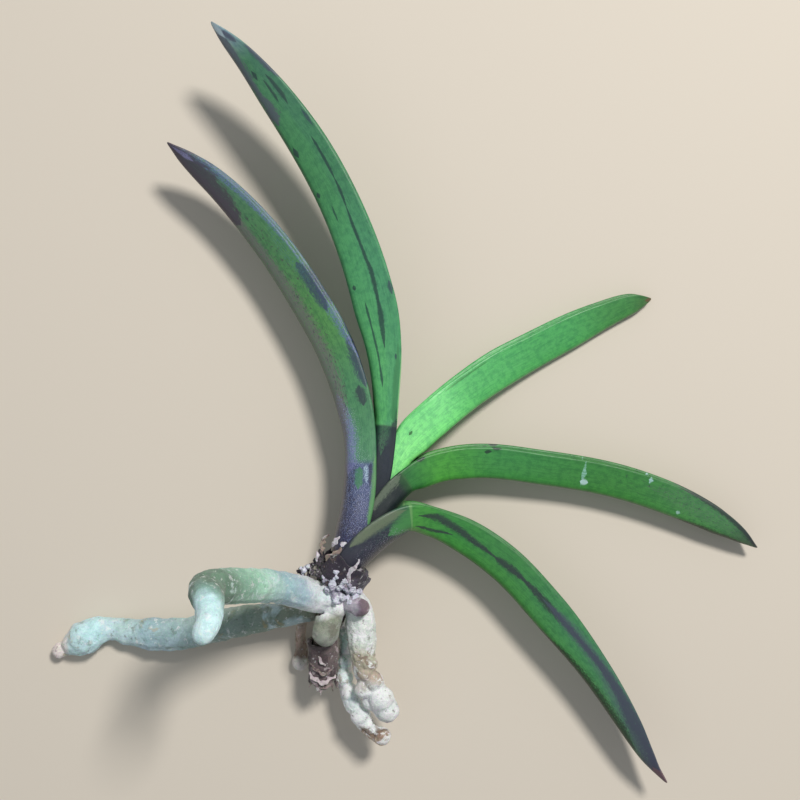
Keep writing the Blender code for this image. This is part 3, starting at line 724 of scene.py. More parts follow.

# %% [markdown]
# ### The outer left leaf
#
# It has the most pigment: a purple tip, a blue-purple band along the front margin whose blue is
# painted reflection, dusky mottles on both sides of a green middle, and a sheath covered in pale
# crystals over violet; the violet carries a painted bluish reflection, and the crystals' white
# specks are partly painted glints. The crystals are marks too, wide ones with a low cover and fine
# holes, so that only specks of them are left.

# %% Outer left leaf
joint, length = leaf_facts("leaf_2_left")
leaf_2_skin = leaf_material("leaf_2_skin", [
    (0, srgb(50, 46, 66)), (3, srgb(64, 66, 100)), (joint - 0.5, srgb(72, 86, 126)),
    (joint + 0.6, srgb(78, 140, 98)), (22, srgb(78, 138, 94)), (33, srgb(84, 144, 80)),
    (46, srgb(78, 132, 84)), (60, srgb(82, 122, 98)), (length, srgb(80, 72, 86)),
], PLAIN_SHADING_TINTS, [
    # the sheath's bluish cast: violet pigment with a painted bluish reflection
    Mark(srgb(140, 154, 196), [
        (0.5, 0.5, 0), (2, 0.5, 0.5), (joint - 0.3, 0.5, 0.45), (joint, 0.5, 0),
    ], cover=0.36, holes=760.0, scale=90.0, strength=0.85),
    Mark(srgb(40, 34, 54), [
        (0, 0.4, 0.6), (6, 0.3, 0.3), (joint, 0.25, 0.2), (17, 0.14, 0.12), (22, 0.1, 0),
    ], cover=0.5, holes=300.0),
    Mark(VIOLET, [
        (joint - 2, 0.28, 0), (joint, 0.27, 0.2), (17, 0.26, 0.2), (20.5, 0.2, 0.16), (23, 0.2, 0),
    ], cover=0.7, holes=600.0),
    # crystal specks of the skin, their white partly painted glints
    Mark(srgb(210, 218, 238), [
        (3, 0.6, 0), (5, 0.6, 0.45), (12, 0.5, 0.5), (15, 0.32, 0.3), (20, 0.26, 0.26),
        (23, 0.2, 0),
    ], cover=0.3, holes=1100.0, strength=0.9),
    Mark(srgb(62, 126, 86), [
        (9.4, 0.57, 0), (10.2, 0.57, 0.09), (12, 0.57, 0.1), (12.5, 0.57, 0),
    ], soft=0.4, ragged=3.2),
    Mark(srgb(186, 214, 230), [
        (10.4, 0.76, 0), (11, 0.76, 0.06), (12.4, 0.74, 0.06), (12.8, 0.74, 0),
    ], cover=0.55, holes=900.0),
    Mark(srgb(38, 46, 76), [(9.8, 0.85, 0), (11, 0.85, 0.05), (12.6, 0.85, 0.05), (13, 0.85, 0)]),
    Mark(srgb(90, 150, 84), [
        (4.8, 0.97, 0), (6.2, 0.97, 0.08), (10, 0.97, 0.09), (13, 0.98, 0.07), (14, 1, 0),
    ], ragged=1.6),
    Mark(srgb(44, 52, 66), [
        (20.4, 0.78, 0), (21.2, 0.78, 0.11), (22.5, 0.76, 0.12), (23.2, 0.78, 0),
    ], cover=0.9),
    Mark(srgb(50, 60, 86), [
        (22.6, 0.95, 0), (24, 0.94, 0.14), (27, 0.93, 0.14), (29, 0.95, 0.09), (29.8, 0.95, 0),
    ], cover=0.85),
    # the margin band: purple pigment, its blue a painted reflection
    Mark(PURPLE_AND_SHEEN_BLUE, [
        (26, 1, 0), (30, 0.96, 0.12), (34, 0.95, 0.13), (38, 0.99, 0.06), (44, 0.98, 0.04),
        (50, 0.95, 0.08), (56, 0.92, 0.12), (60, 0.88, 0.17), (64, 0.8, 0.2), (length, 0.8, 0.1),
    ], cover=0.6),
    Mark(DUSK_BLUE, [
        (33.6, 0.84, 0), (35, 0.86, 0.13), (38, 0.88, 0.15), (40.6, 0.86, 0.12), (41.6, 0.86, 0),
    ], cover=0.8),
    Mark(srgb(74, 122, 122), [
        (38, 0.85, 0), (42, 0.84, 0.2), (46, 0.85, 0.14), (49, 0.9, 0),
    ], cover=0.45, strength=0.6),
    Mark(GREY_PURPLE, [
        (16, 0.12, 0.1), (22, 0.16, 0.2), (27, 0.18, 0.22), (32, 0.2, 0.2), (38, 0.22, 0.2),
        (44, 0.22, 0.14), (50, 0.2, 0.16), (52, 0.2, 0.2),
    ], cover=0.75, soft=0.5),
    Mark(srgb(66, 62, 72), [
        (18, 0.3, 0), (24, 0.36, 0.16), (32, 0.4, 0.16), (40, 0.5, 0.2), (48, 0.5, 0.2),
        (54, 0.5, 0),
    ], cover=0.35, holes=250.0),
    Mark(srgb(68, 58, 74), [
        (50.2, 0.24, 0), (51.6, 0.24, 0.26), (54, 0.3, 0.3), (58, 0.42, 0.38), (61, 0.5, 0.48),
        (63, 0.45, 0.6), (length, 0.5, 1),
    ], soft=0.3, scale=160.0),
    Mark(srgb(134, 134, 178), [
        (60.8, 0.72, 0), (62, 0.72, 0.15), (63.6, 0.74, 0.12), (64.6, 0.75, 0),
    ], cover=0.7, strength=0.7),
], joint, length)
make_leaf("leaf_2_left", leaf_2_skin, "leaf_purple_green")

# %% [markdown]
# ### The middle right leaf
#
# A plain green blade with a dark margin, a sprinkle of dark mottles toward its tip, and a few pale
# scratches across it. A scratch is a mark that is long across the leaf and very short along it.

# %% Middle right leaf
joint, length = leaf_facts("leaf_3_right")
leaf_3_skin = leaf_material("leaf_3_skin", [
    (0, srgb(32, 36, 44)), (joint - 1.6, srgb(38, 48, 50)), (joint - 0.2, srgb(50, 88, 56)),
    (joint + 0.4, srgb(58, 128, 66)), (15, srgb(80, 162, 68)), (24, srgb(72, 150, 80)),
    (40, srgb(70, 142, 70)), (56, srgb(84, 146, 88)), (length, srgb(70, 96, 72)),
], [
    # painted shade: the keel and margin sides darker than the middle
    (0, (0.55, 0.62, 0.45)), (0.14, (0.95, 1.05, 0.8)), (0.5, (1, 1, 0.95)),
    (0.8, (0.94, 0.98, 0.96)), (1, (0.72, 0.82, 0.8)),
], [
    Mark(srgb(108, 122, 104), [
        (3, 0.95, 0), (4.5, 0.93, 0.1), (7, 0.9, 0.13), (joint - 1, 0.88, 0.14),
        (joint - 0.2, 0.9, 0),
    ], strength=0.75, soft=0.5),
    Mark(srgb(150, 156, 160), [
        (1, 0.5, 0), (2, 0.5, 0.3), (joint - 1, 0.5, 0.3), (joint - 0.3, 0.5, 0),
    ], cover=0.12, holes=1000.0, strength=0.6),
    Mark(NIGHT_GREEN, [
        (21.3, 0.86, 0), (21.6, 0.86, 0.06), (22, 0.88, 0.05), (22.3, 0.88, 0),
    ], ragged=0.8),
    Mark(NIGHT_GREEN, [(22.3, 1, 0), (22.6, 1, 0.07), (23.2, 1, 0.07), (23.6, 1, 0)], ragged=0.8),
    Mark(NIGHT_GREEN, [
        (12.1, 0.98, 0), (12.4, 0.98, 0.08), (13, 0.98, 0.06), (13.3, 0.98, 0),
    ], ragged=0.8),
    Mark(srgb(150, 204, 188), [
        (35.15, 0.62, 0), (35.3, 0.62, 0.34), (35.5, 0.62, 0.34), (35.65, 0.62, 0),
    ], cover=0.7, strength=0.8),
    Mark(srgb(196, 228, 230), [
        (35.2, 0.36, 0), (35.4, 0.36, 0.09), (36, 0.36, 0.08), (36.3, 0.36, 0),
    ], ragged=0.8),
    Mark(srgb(170, 210, 210), [
        (44.2, 0.9, 0), (44.35, 0.9, 0.09), (44.6, 0.9, 0.09), (44.75, 0.9, 0),
    ], cover=0.8),
    Mark(srgb(160, 200, 190), [
        (49.6, 0.28, 0), (49.75, 0.28, 0.05), (50.1, 0.28, 0.05), (50.3, 0.28, 0),
    ], cover=0.8),
    Mark(srgb(46, 60, 62), [
        (37, 0.6, 0), (42, 0.6, 0.25), (50, 0.6, 0.4), (58, 0.55, 0.5), (length, 0.5, 0.6),
    ], cover=0.28, holes=240.0),
    Mark(srgb(92, 108, 100), [
        (44, 0.7, 0), (50, 0.7, 0.3), (58, 0.7, 0.4), (length, 0.6, 0.5),
    ], cover=0.5, strength=0.5),
    Mark(srgb(52, 54, 62), [
        (48, 1, 0), (53, 0.98, 0.07), (58, 0.94, 0.13), (61, 0.9, 0.18), (length, 0.8, 0.25),
    ], cover=0.95),
    Mark(srgb(50, 56, 46), [
        (49, 0.05, 0), (54, 0.08, 0.12), (60, 0.08, 0.16), (length, 0.1, 0.1),
    ], cover=0.9),
], joint, length)
make_leaf("leaf_3_right", leaf_3_skin, "leaf_green")

# %% [markdown]
# ### The upper left leaf
#
# The longest leaf. A broken dark line runs along the middle of its flank, with a second one beside
# it near the base, and its tip is bleached above purple margins. The line is one mark whose width
# rises and falls from row to row, which is easier to place than many separate dashes.

# %% Upper left leaf
joint, length = leaf_facts("leaf_4_left")
leaf_4_skin = leaf_material("leaf_4_skin", [
    (0, srgb(30, 34, 42)), (joint - 3.5, srgb(38, 48, 58)), (joint - 0.2, srgb(44, 70, 64)),
    (joint + 0.3, srgb(92, 174, 108)), (22, srgb(88, 168, 106)), (34, srgb(80, 156, 104)),
    (50, srgb(72, 138, 90)), (66, srgb(74, 128, 94)), (length - 1.5, srgb(150, 170, 178)),
    (length, srgb(80, 80, 92)),
], [
    # painted shade and painted reflection: middle lightest, margin half darker and bluer, keel a
    # little darker
    (0, (0.8, 0.86, 0.8)), (0.18, (0.98, 1.04, 0.92)), (0.5, (1.04, 1.08, 1)),
    (0.66, (0.94, 0.96, 1.04)), (0.92, (0.82, 0.88, 0.98)), (1, (0.8, 0.92, 0.92)),
], [
    Mark(srgb(60, 110, 78), [
        (9.4, 0.5, 0), (11.4, 0.52, 0.14), (13, 0.55, 0.18), (joint - 0.1, 0.55, 0.18),
        (joint, 0.5, 0),
    ], cover=0.6, holes=400.0, soft=0.7),
    Mark(srgb(36, 46, 54), [
        (8, 0.9, 0), (10, 0.9, 0.1), (joint, 0.9, 0.12), (15.4, 0.92, 0.05), (16.4, 0.92, 0),
    ], cover=0.9),
    Mark(srgb(64, 132, 84), [
        (14.2, 0.86, 0), (15, 0.84, 0.1), (20, 0.86, 0.1), (25, 0.92, 0),
    ], strength=0.8, soft=0.5, ragged=0.6),
    Mark(srgb(158, 212, 150), [
        (14.4, 1, 0), (15, 1, 0.04), (20, 1, 0.035), (24, 1, 0),
    ], ragged=0.4),
    Mark(srgb(28, 56, 58), [
        (23.8, 0.56, 0), (26, 0.57, 0.05), (28.4, 0.6, 0.065), (30.6, 0.62, 0.03), (33, 0.64, 0.05),
        (34.8, 0.65, 0.05), (36, 0.63, 0.035), (38.6, 0.62, 0.03), (41, 0.62, 0.035),
        (43.4, 0.65, 0.01), (45.6, 0.69, 0.04), (47.4, 0.7, 0.01), (49, 0.71, 0.035),
        (52.6, 0.72, 0.03), (54, 0.72, 0),
    ], ragged=2.2, cover=0.95),
    Mark(srgb(30, 66, 62), [
        (18.8, 0.43, 0), (20, 0.41, 0.045), (22, 0.38, 0.02), (24.6, 0.35, 0.03),
        (27.6, 0.34, 0.02), (29.4, 0.34, 0.03), (31, 0.34, 0), (41.6, 0.34, 0), (43.4, 0.34, 0.025),
        (45, 0.36, 0),
    ], ragged=2.2, cover=0.9),
    Mark(srgb(40, 62, 64), [
        (58.6, 0.7, 0), (60.2, 0.74, 0.06), (62.6, 0.74, 0.05), (63.8, 0.72, 0),
    ], ragged=1.8),
    Mark(srgb(40, 62, 64), [
        (59.6, 0.53, 0), (60.6, 0.55, 0.04), (62.6, 0.56, 0.03), (63.4, 0.56, 0),
    ], ragged=1.8),
    Mark(srgb(34, 52, 60), [
        (32.6, 0.19, 0), (32.9, 0.19, 0.06), (33.3, 0.19, 0), (46, 0.17, 0), (46.5, 0.17, 0.05),
        (47, 0.17, 0), (52.2, 0.18, 0), (53, 0.18, 0.07), (53.9, 0.18, 0), (63.6, 0.4, 0),
        (64.4, 0.42, 0.08), (65.2, 0.42, 0),
    ], ragged=0.8),
    Mark(srgb(46, 70, 80), [
        (22.5, 0.84, 0), (22.9, 0.84, 0.04), (23.4, 0.84, 0), (30.8, 0.94, 0), (31.8, 0.95, 0.07),
        (32.8, 0.95, 0), (54.5, 0.9, 0), (56, 0.9, 0.05), (57.5, 0.9, 0),
    ], ragged=1.2),
    Mark(srgb(44, 66, 66), [
        (26, 0.5, 0), (30, 0.5, 0.5), (48, 0.5, 0.5), (58, 0.5, 0.5), (68, 0.5, 0.5),
    ], cover=0.12, holes=520.0, strength=0.8),
    Mark(srgb(82, 84, 100), [
        (57.2, 0.18, 0), (58.6, 0.22, 0.16), (60.6, 0.22, 0.12), (62.4, 0.18, 0.07),
        (64.4, 0.18, 0.12), (68, 0.22, 0.2), (71, 0.3, 0.26), (72.4, 0.3, 0.2),
    ], cover=0.85, scale=160.0),
    Mark(srgb(74, 78, 100), [
        (62, 0.98, 0), (64, 0.96, 0.1), (67, 0.96, 0.1), (68.4, 0.96, 0), (69, 0.8, 0),
        (70, 0.78, 0.16), (71.2, 0.76, 0.14), (71.9, 0.7, 0),
    ], cover=0.9),
    Mark(srgb(178, 198, 208), [
        (70.6, 0.55, 0), (71.8, 0.58, 0.26), (73, 0.6, 0.4), (length, 0.6, 0.4),
    ], cover=0.85, ragged=0.8),
], joint, length)
make_leaf("leaf_4_left", leaf_4_skin, "leaf_green")

# %% [markdown]
# ### The inner right leaf
#
# The youngest leaf is the brightest: yellow-green at its base, clear green further out, with a
# brown dot at the very tip. It has a slightly glossier skin than the older leaves.

# %% Inner right leaf
joint, length = leaf_facts("leaf_5_right")
leaf_5_skin = leaf_material("leaf_5_skin", [
    (0, srgb(134, 224, 130)), (joint + 1, srgb(150, 246, 150)), (14, srgb(132, 232, 140)),
    (22, srgb(98, 192, 112)), (36, srgb(88, 178, 102)), (46, srgb(80, 150, 82)),
    (length, srgb(78, 120, 70)),
], [
    # painted shade: the keel and margin sides darker than the middle
    (0, (0.62, 0.7, 0.5)), (0.15, (0.96, 1.02, 0.9)), (0.5, (1, 1, 1)), (0.85, (0.96, 0.99, 1)),
    (1, (0.76, 0.88, 0.84)),
], [
    Mark(srgb(60, 118, 64), [
        (16.6, 0.88, 0), (18.6, 0.9, 0.02), (23.6, 0.91, 0.02), (25.4, 0.91, 0),
    ], strength=0.6),
    Mark(srgb(40, 84, 40), [(10.1, 0.66, 0), (10.5, 0.66, 0.045), (10.9, 0.67, 0)], ragged=0.8),
    Mark(srgb(70, 130, 72), [
        (20, 0.5, 0), (26, 0.5, 0.5), (44, 0.5, 0.5), (48, 0.5, 0),
    ], cover=0.15, holes=500.0, strength=0.6),
    Mark(srgb(112, 84, 62), [
        (49.4, 0.6, 0), (49.9, 0.6, 0.3), (50.5, 0.6, 0.4), (length, 0.6, 0.4),
    ], ragged=0.8),
], joint, length, 0.0, 0.36)
make_leaf("leaf_5_right", leaf_5_skin, "leaf_bright_green")

# %% [markdown]
# ## Roots and stem
#
# An orchid's root wears velamen, a thick dry velvet that is pale when dry and turns green where it
# holds water. A root could be sculpted by hand. Here it starts as a copy of its solid, which keeps
# its form, with the solid's loose triangles joined. Knobs are melted into it by a voxel remesh,
# which gives an even surface, and two noises then push that surface in and out.

# %% Root tools
LUMP_SIZE = 2.0
GRAIN_SIZE = 0.45
JOIN_DISTANCE = 0.001


def copy_of_solid(node, name):
    """A new object with the same mesh as a solid, its loose triangles joined."""
    piece = bpy.data.objects.new(name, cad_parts[node].data.copy())
    bpy.context.scene.collection.objects.link(piece)
    join = piece.modifiers.new("join", "WELD")
    join.merge_threshold = JOIN_DISTANCE * MM
    apply_all(piece)
    return piece


def add_knobs(piece, knobs):
    """Add balls, given by place and radius, to be melted into a piece by the remesh."""
    balls = []
    for x, y, z, radius in knobs:
        bpy.ops.mesh.primitive_ico_sphere_add(
            subdivisions=3, radius=radius * MM, location=to_metres((x, y, z)))
        balls.append(bpy.context.object)
    if balls:
        select_only(piece)
        for ball in balls:
            ball.select_set(True)
        bpy.ops.object.join()


def displace(piece, name, scale, strength):
    """Push the surface in and out by a soft noise."""
    cloud = bpy.data.textures.new(name, "CLOUDS")
    cloud.noise_scale = scale * MM
    cloud.noise_depth = 3
    push = piece.modifiers.new(name, "DISPLACE")
    push.texture = cloud
    push.texture_coords = "LOCAL"
    push.strength = strength * MM
    push.mid_level = 0.5


def make_root(node, material, slot, lump, grain, knobs=(), voxel=0.16, softenings=5):
    """A root or stem with a finer surface than its solid."""
    piece = copy_of_solid(node, node + "_skin")
    add_knobs(piece, knobs)
    remesh = piece.modifiers.new("even", "REMESH")
    remesh.mode = "VOXEL"
    remesh.voxel_size = voxel * MM
    soften = piece.modifiers.new("soften", "SMOOTH")
    soften.factor = 0.5
    soften.iterations = softenings
    displace(piece, node + "_lumps", LUMP_SIZE, lump)
    displace(piece, node + "_grain", GRAIN_SIZE, grain)
    apply_all(piece)
    finish_piece(piece, material, slot, node)


# %% [markdown]
# ### Velvet
#
# The velvet's colour changes along the root, so each root gets zones of colour along one axis,
# given in millimetres in the plant's frame. Patches of other colours, dark pits, pale crust and a
# fine fuzz lie on top of them. Noise was chosen over stored colours, because the remesh keeps none.

# %% Velvet material
PIT_BROWN = srgb(84, 76, 66)
CRUST_WHITE = srgb(244, 246, 248)
TONE_TINT = (0.78, 0.84, 0.83)
FUZZ_TINT = (1.20, 1.18, 1.16)
WANDER = 4.0
TONE_SCALE = 760.0
CRUST_SCALE = 1100.0
DENT_SCALE = 1500.0
FUZZ_SCALE = 4800.0


def velvet(name, axis, zones, patches=(), pits=0.3, crust=0.3, fuzz_depth=0.12, roughness=0.9):
    """Root skin: zones along an axis, (colour, scale, low, high, strength) patches, pits, crust."""
    shade = Shade(name, roughness, sheen=0.15, subsurface=0.15)
    place = shade.place("Object")
    split = shade.nodes.new("ShaderNodeSeparateXYZ")
    shade.links.new(place, split.inputs[0])
    drift = shade.noise(place, 420.0, 2.0)
    wander = shade.math("MULTIPLY_ADD", drift, WANDER * MM, -WANDER / 2 * MM)
    reach = shade.math("ADD", split.outputs[axis], wander)
    first, last = zones[0][0], zones[-1][0]
    reach = shade.math("DIVIDE", shade.math("SUBTRACT", reach, first * MM), (last - first) * MM)
    stops = [((where - first) / (last - first), tone) for where, tone in zones]
    colour = shade.ramp(reach, stops, "LINEAR")
    tones = shade.noise(place, TONE_SCALE, 6.0, 0.75)
    colour = shade.blend(shade.rise(tones, 0.62, 0.36), colour, TONE_TINT, "MULTIPLY")
    for index, (tint, scale, low, high, strength) in enumerate(patches):
        stretched = shade.place("Object", (1.0, 1.0 + 0.13 * index, 1.0))
        spot = shade.noise(stretched, scale, 4.0, 0.65, 0.5)
        share = shade.math("MULTIPLY", shade.rise(spot, low, high), strength)
        colour = shade.blend(share, colour, tint)
    fuzz = shade.noise(place, FUZZ_SCALE, 3.0, 0.7)
    colour = shade.blend(shade.rise(fuzz, 0.45, 0.72), colour, FUZZ_TINT, "MULTIPLY")
    dents = shade.noise(place, DENT_SCALE, 4.0, 0.65)
    dark = shade.math("MULTIPLY", shade.rise(dents, 0.42, 0.30), pits)
    colour = shade.blend(dark, colour, PIT_BROWN)
    pale = shade.rise(shade.noise(place, CRUST_SCALE, 5.0, 0.7), 0.57, 0.64)
    colour = shade.blend(shade.math("MULTIPLY", pale, crust), colour, CRUST_WHITE)
    shade.colour(colour)
    shade.bump(shade.math("ADD", dents, shade.math("MULTIPLY", fuzz, 0.6)), fuzz_depth * MM, 0.9)
    print(name, "has", len(shade.nodes), "nodes")
    return shade.material


# %% Root colours
FROST = srgb(236, 238, 240)
SHELL = srgb(226, 216, 210)
ICE = srgb(206, 242, 250)
OCHRE = srgb(176, 160, 118)
BARK = srgb(96, 76, 62)

# %% [markdown]
# ### The raised root
#
# It leaves the stem white, turns mint green as it rises, is darkest at its bend, a green darkened
# by painted shade on the side turned from the light, and pale at the tip that points at the camera.
# It stands up, so its colour zones go by height.

# %% Raised root
raised_skin = velvet("raised_skin", "Z", [
    (8.0, SHELL), (11.0, FROST), (13.0, srgb(222, 226, 232)), (15.0, srgb(176, 200, 214)),
    (18.0, srgb(170, 204, 214)), (20.5, srgb(190, 226, 216)), (23.0, srgb(176, 222, 200)),
    # painted shade: the dark green zones of the bend, darker than the root's own green
    (25.5, srgb(150, 190, 170)), (28.0, srgb(112, 142, 124)), (33.0, srgb(98, 124, 108)),
    (35.0, srgb(140, 176, 168)), (36.6, ICE), (41.0, srgb(216, 244, 250)),
], [
    (srgb(112, 152, 128), 230.0, 0.58, 0.68, 0.55), (srgb(216, 236, 238), 300.0, 0.54, 0.62, 0.6),
], 0.2, 0.5, 0.14)
SHOULDER_KNOBS = [(-8.3, -26.9, 9.6, 1.7), (-7.2, -26.6, 10.2, 1.4), (-9.6, -26.0, 10.6, 1.9)]
make_root("root_raised", raised_skin, "root_pale_green", 0.35, 0.07, SHOULDER_KNOBS)

# %% [markdown]
# ### The long root
#
# It lies out to the left: olive and damp near the stem, blotched grey-green along its middle, pale
# at the swollen end, with a small round new tip. The swelling and the tip are melted-in balls.

# %% Long root
long_skin = velvet("long_skin", "X", [
    (-50.0, srgb(240, 222, 220)), (-48.0, srgb(238, 228, 226)), (-46.6, srgb(204, 234, 238)),
    (-43.0, ICE), (-40.5, srgb(196, 222, 222)), (-36.0, srgb(166, 194, 204)),
    (-31.0, srgb(168, 194, 196)), (-26.0, srgb(150, 170, 164)), (-19.0, srgb(136, 152, 140)),
    (-9.0, srgb(140, 142, 124)),
], [
    (OCHRE, 240.0, 0.58, 0.66, 0.6), (srgb(192, 218, 228), 210.0, 0.52, 0.62, 0.7),
    (srgb(116, 138, 122), 300.0, 0.57, 0.66, 0.55),
], 0.5, 0.5)
END_KNOBS = [
    (-48.1, -35.35, 1.55, 1.15), (-44.4, -33.3, 2.6, 2.2), (-42.6, -32.3, 2.2, 1.8),
    (-46.0, -34.3, 2.0, 1.6),
]
make_root("root_long", long_skin, "root_pale_green", 0.45, 0.10, END_KNOBS)

# %% [markdown]
# ### The knobbly roots
#
# Two roots lie side by side and point away from the leaves. Old, dry velamen has burst on them
# into white knobs with brown cracks between. Each knob is a ball melted into the root, and the
# remesh is finer and smoothed less than on the other roots, to keep the cracks sharp.

# %% Knobbly roots
white_skin = velvet("white_skin", "Y", [
    (-45.0, srgb(226, 200, 192)), (-42.6, srgb(236, 226, 226)), (-40.5, FROST), (-37.4, FROST),
    (-36.0, srgb(190, 172, 158)), (-33.5, srgb(192, 184, 164)), (-30.5, srgb(226, 232, 226)),
    (-26.0, FROST),
], [
    (srgb(128, 106, 92), 320.0, 0.57, 0.64, 0.7), (FROST, 360.0, 0.49, 0.57, 0.85),
], 0.65, 0.85, 0.18)
thin_skin = velvet("thin_skin", "Y", [
    (-46.0, srgb(220, 196, 176)), (-44.4, srgb(206, 182, 162)), (-43.6, srgb(104, 84, 70)),
    (-42.6, FROST), (-38.0, srgb(228, 240, 242)), (-32.0, srgb(204, 232, 228)),
    (-27.0, srgb(160, 168, 150)),
], [
    (srgb(136, 112, 96), 330.0, 0.57, 0.64, 0.65), (FROST, 380.0, 0.49, 0.57, 0.85),
], 0.65, 0.8, 0.18)
RIGHT_KNOBS = [
    (-3.5, -37.9, 9.0, 1.35), (-4.9, -39.1, 8.7, 1.25), (-2.6, -40.3, 8.7, 1.75),
    (-1.7, -42.1, 8.3, 1.55), (-4.7, -36.6, 9.3, 1.1), (-3.9, -40.9, 8.0, 1.3),
    (-4.2, -35.4, 9.3, 1.2),
]
THIN_KNOBS = [
    (-7.7, -38.2, 5.7, 1.25), (-6.9, -40.1, 6.1, 1.2), (-6.2, -41.6, 6.2, 1.1),
    (-5.4, -43.2, 6.6, 1.45), (-2.5, -45.8, 7.3, 1.3), (-7.6, -36.2, 5.2, 1.0),
]
make_root("root_right", white_skin, "root_whitish", 0.35, 0.16, RIGHT_KNOBS, 0.12, 2)
make_root("root_right_thin", thin_skin, "root_whitish", 0.25, 0.14, THIN_KNOBS, 0.11, 2)

# %% [markdown]
# ### Short roots, bud and stem
#
# The short root in front of the stem is olive grey, the thin one on the left is brown with a bulb
# at its end, and the new tip on the right is purple-brown and smooth. The stem is dark and
# fibrous. All are made as the longer roots are, with one ball melted in where each root swells.

# %% Short roots, bud and stem
olive_skin = velvet("olive_skin", "Y", [
    (-33.0, srgb(64, 56, 52)), (-32.0, srgb(112, 108, 98)), (-30.5, srgb(156, 160, 150)),
    (-28.0, srgb(144, 148, 132)), (-26.0, FROST),
], [(srgb(98, 92, 82), 330.0, 0.54, 0.62, 0.5)], 0.4, 0.3)
taupe_skin = velvet("taupe_skin", "Y", [
    (-37.5, srgb(226, 220, 220)), (-35.4, srgb(220, 210, 206)), (-34.4, srgb(130, 110, 98)),
    (-31.0, srgb(186, 166, 154)), (-27.0, srgb(190, 178, 168)),
], [(BARK, 330.0, 0.58, 0.66, 0.6)], 0.5, 0.4)
bud_skin = velvet("bud_skin", "X", [
    (-8.4, srgb(206, 202, 210)), (-7.6, srgb(190, 182, 194)), (-6.8, srgb(136, 120, 138)),
    (-6.2, srgb(112, 92, 106)), (-5.0, srgb(138, 116, 126)), (-4.0, srgb(166, 146, 150)),
], [(srgb(206, 196, 208), 520.0, 0.54, 0.62, 0.6)], 0.3, 0.3, 0.10, 0.6)
stem_skin = velvet("stem_skin", "Y", [
    (-37.0, srgb(70, 56, 48)), (-30.0, srgb(96, 82, 70)), (-25.0, srgb(70, 62, 64)),
    (-14.0, srgb(44, 44, 54)),
], [(srgb(176, 164, 156), 460.0, 0.56, 0.64, 0.6)], 0.7, 0.5, 0.2)
STUB_KNOB = (-8.8, -27.7, 10.3, 1.7)
BULB = (-14.1, -37.0, 1.45, 1.25)
BUD_KNOB = (-5.35, -27.45, 12.0, 1.25)
make_root("root_stub_middle", olive_skin, "root_olive_brown", 0.3, 0.08, [STUB_KNOB], 0.12)
make_root("root_stub_left", taupe_skin, "root_olive_brown", 0.25, 0.08, [BULB], 0.1)
make_root("root_bud", bud_skin, "root_tip_purple", 0.1, 0.03, [BUD_KNOB], 0.09)
make_root("stem", stem_skin, "stem", 0.3, 0.16, (), 0.13)

# %% [markdown]
# ## Dry sheath remains
#
# Old sheaths dry to a torn, papery sleeve round the leaf bases and round the stem's old end. The
# sleeves are dark; only their torn edges, loose fibres and crumbs are pale. The sleeves are made
# as the roots are, with a stronger grain, which wrinkles them like dry bark.

# %% Sleeves
collar_skin = velvet("collar_skin", "Y", [
    (-25.0, srgb(158, 154, 166)), (-23.6, srgb(104, 98, 114)), (-22.0, srgb(58, 50, 64)),
    (-18.0, srgb(54, 46, 58)),
], [
    (srgb(124, 102, 96), 340.0, 0.55, 0.62, 0.7), (srgb(38, 34, 48), 260.0, 0.5, 0.6, 0.7),
], 0.6, 0.3, 0.2)
stub_skin = velvet("stub_skin", "Y", [
    (-39.0, srgb(176, 162, 162)), (-37.2, srgb(122, 106, 108)), (-36.0, srgb(104, 90, 94)),
    (-31.0, srgb(112, 98, 98)),
], [
    (srgb(64, 52, 56), 340.0, 0.50, 0.60, 0.75), (srgb(184, 172, 176), 520.0, 0.56, 0.62, 0.7),
], 0.6, 0.4, 0.2)
make_root("sheath_remains_collar", collar_skin, "dry_remains", 0.45, 0.2, (), 0.12, 4)
make_root("sheath_remains_stub", stub_skin, "dry_remains", 0.75, 0.22, (), 0.11, 5)

# %% [markdown]
# ### Torn edges and fibres
#
# A torn sheath edge is a ribbon of paper that curls. It could be a curve with a flat profile, but
# then its sides couldn't fray. So each one starts as a grid, is laid along a few places with a
# width and a tilt at each, frayed and crumpled by noise, and given a thin wall by Solidify.

# %% Ribbons
RIBBON_STEPS = 28
RIBBON_ACROSS = 4
PAPER = 0.09
CRUMPLE = 0.35
LIFT = 0.15


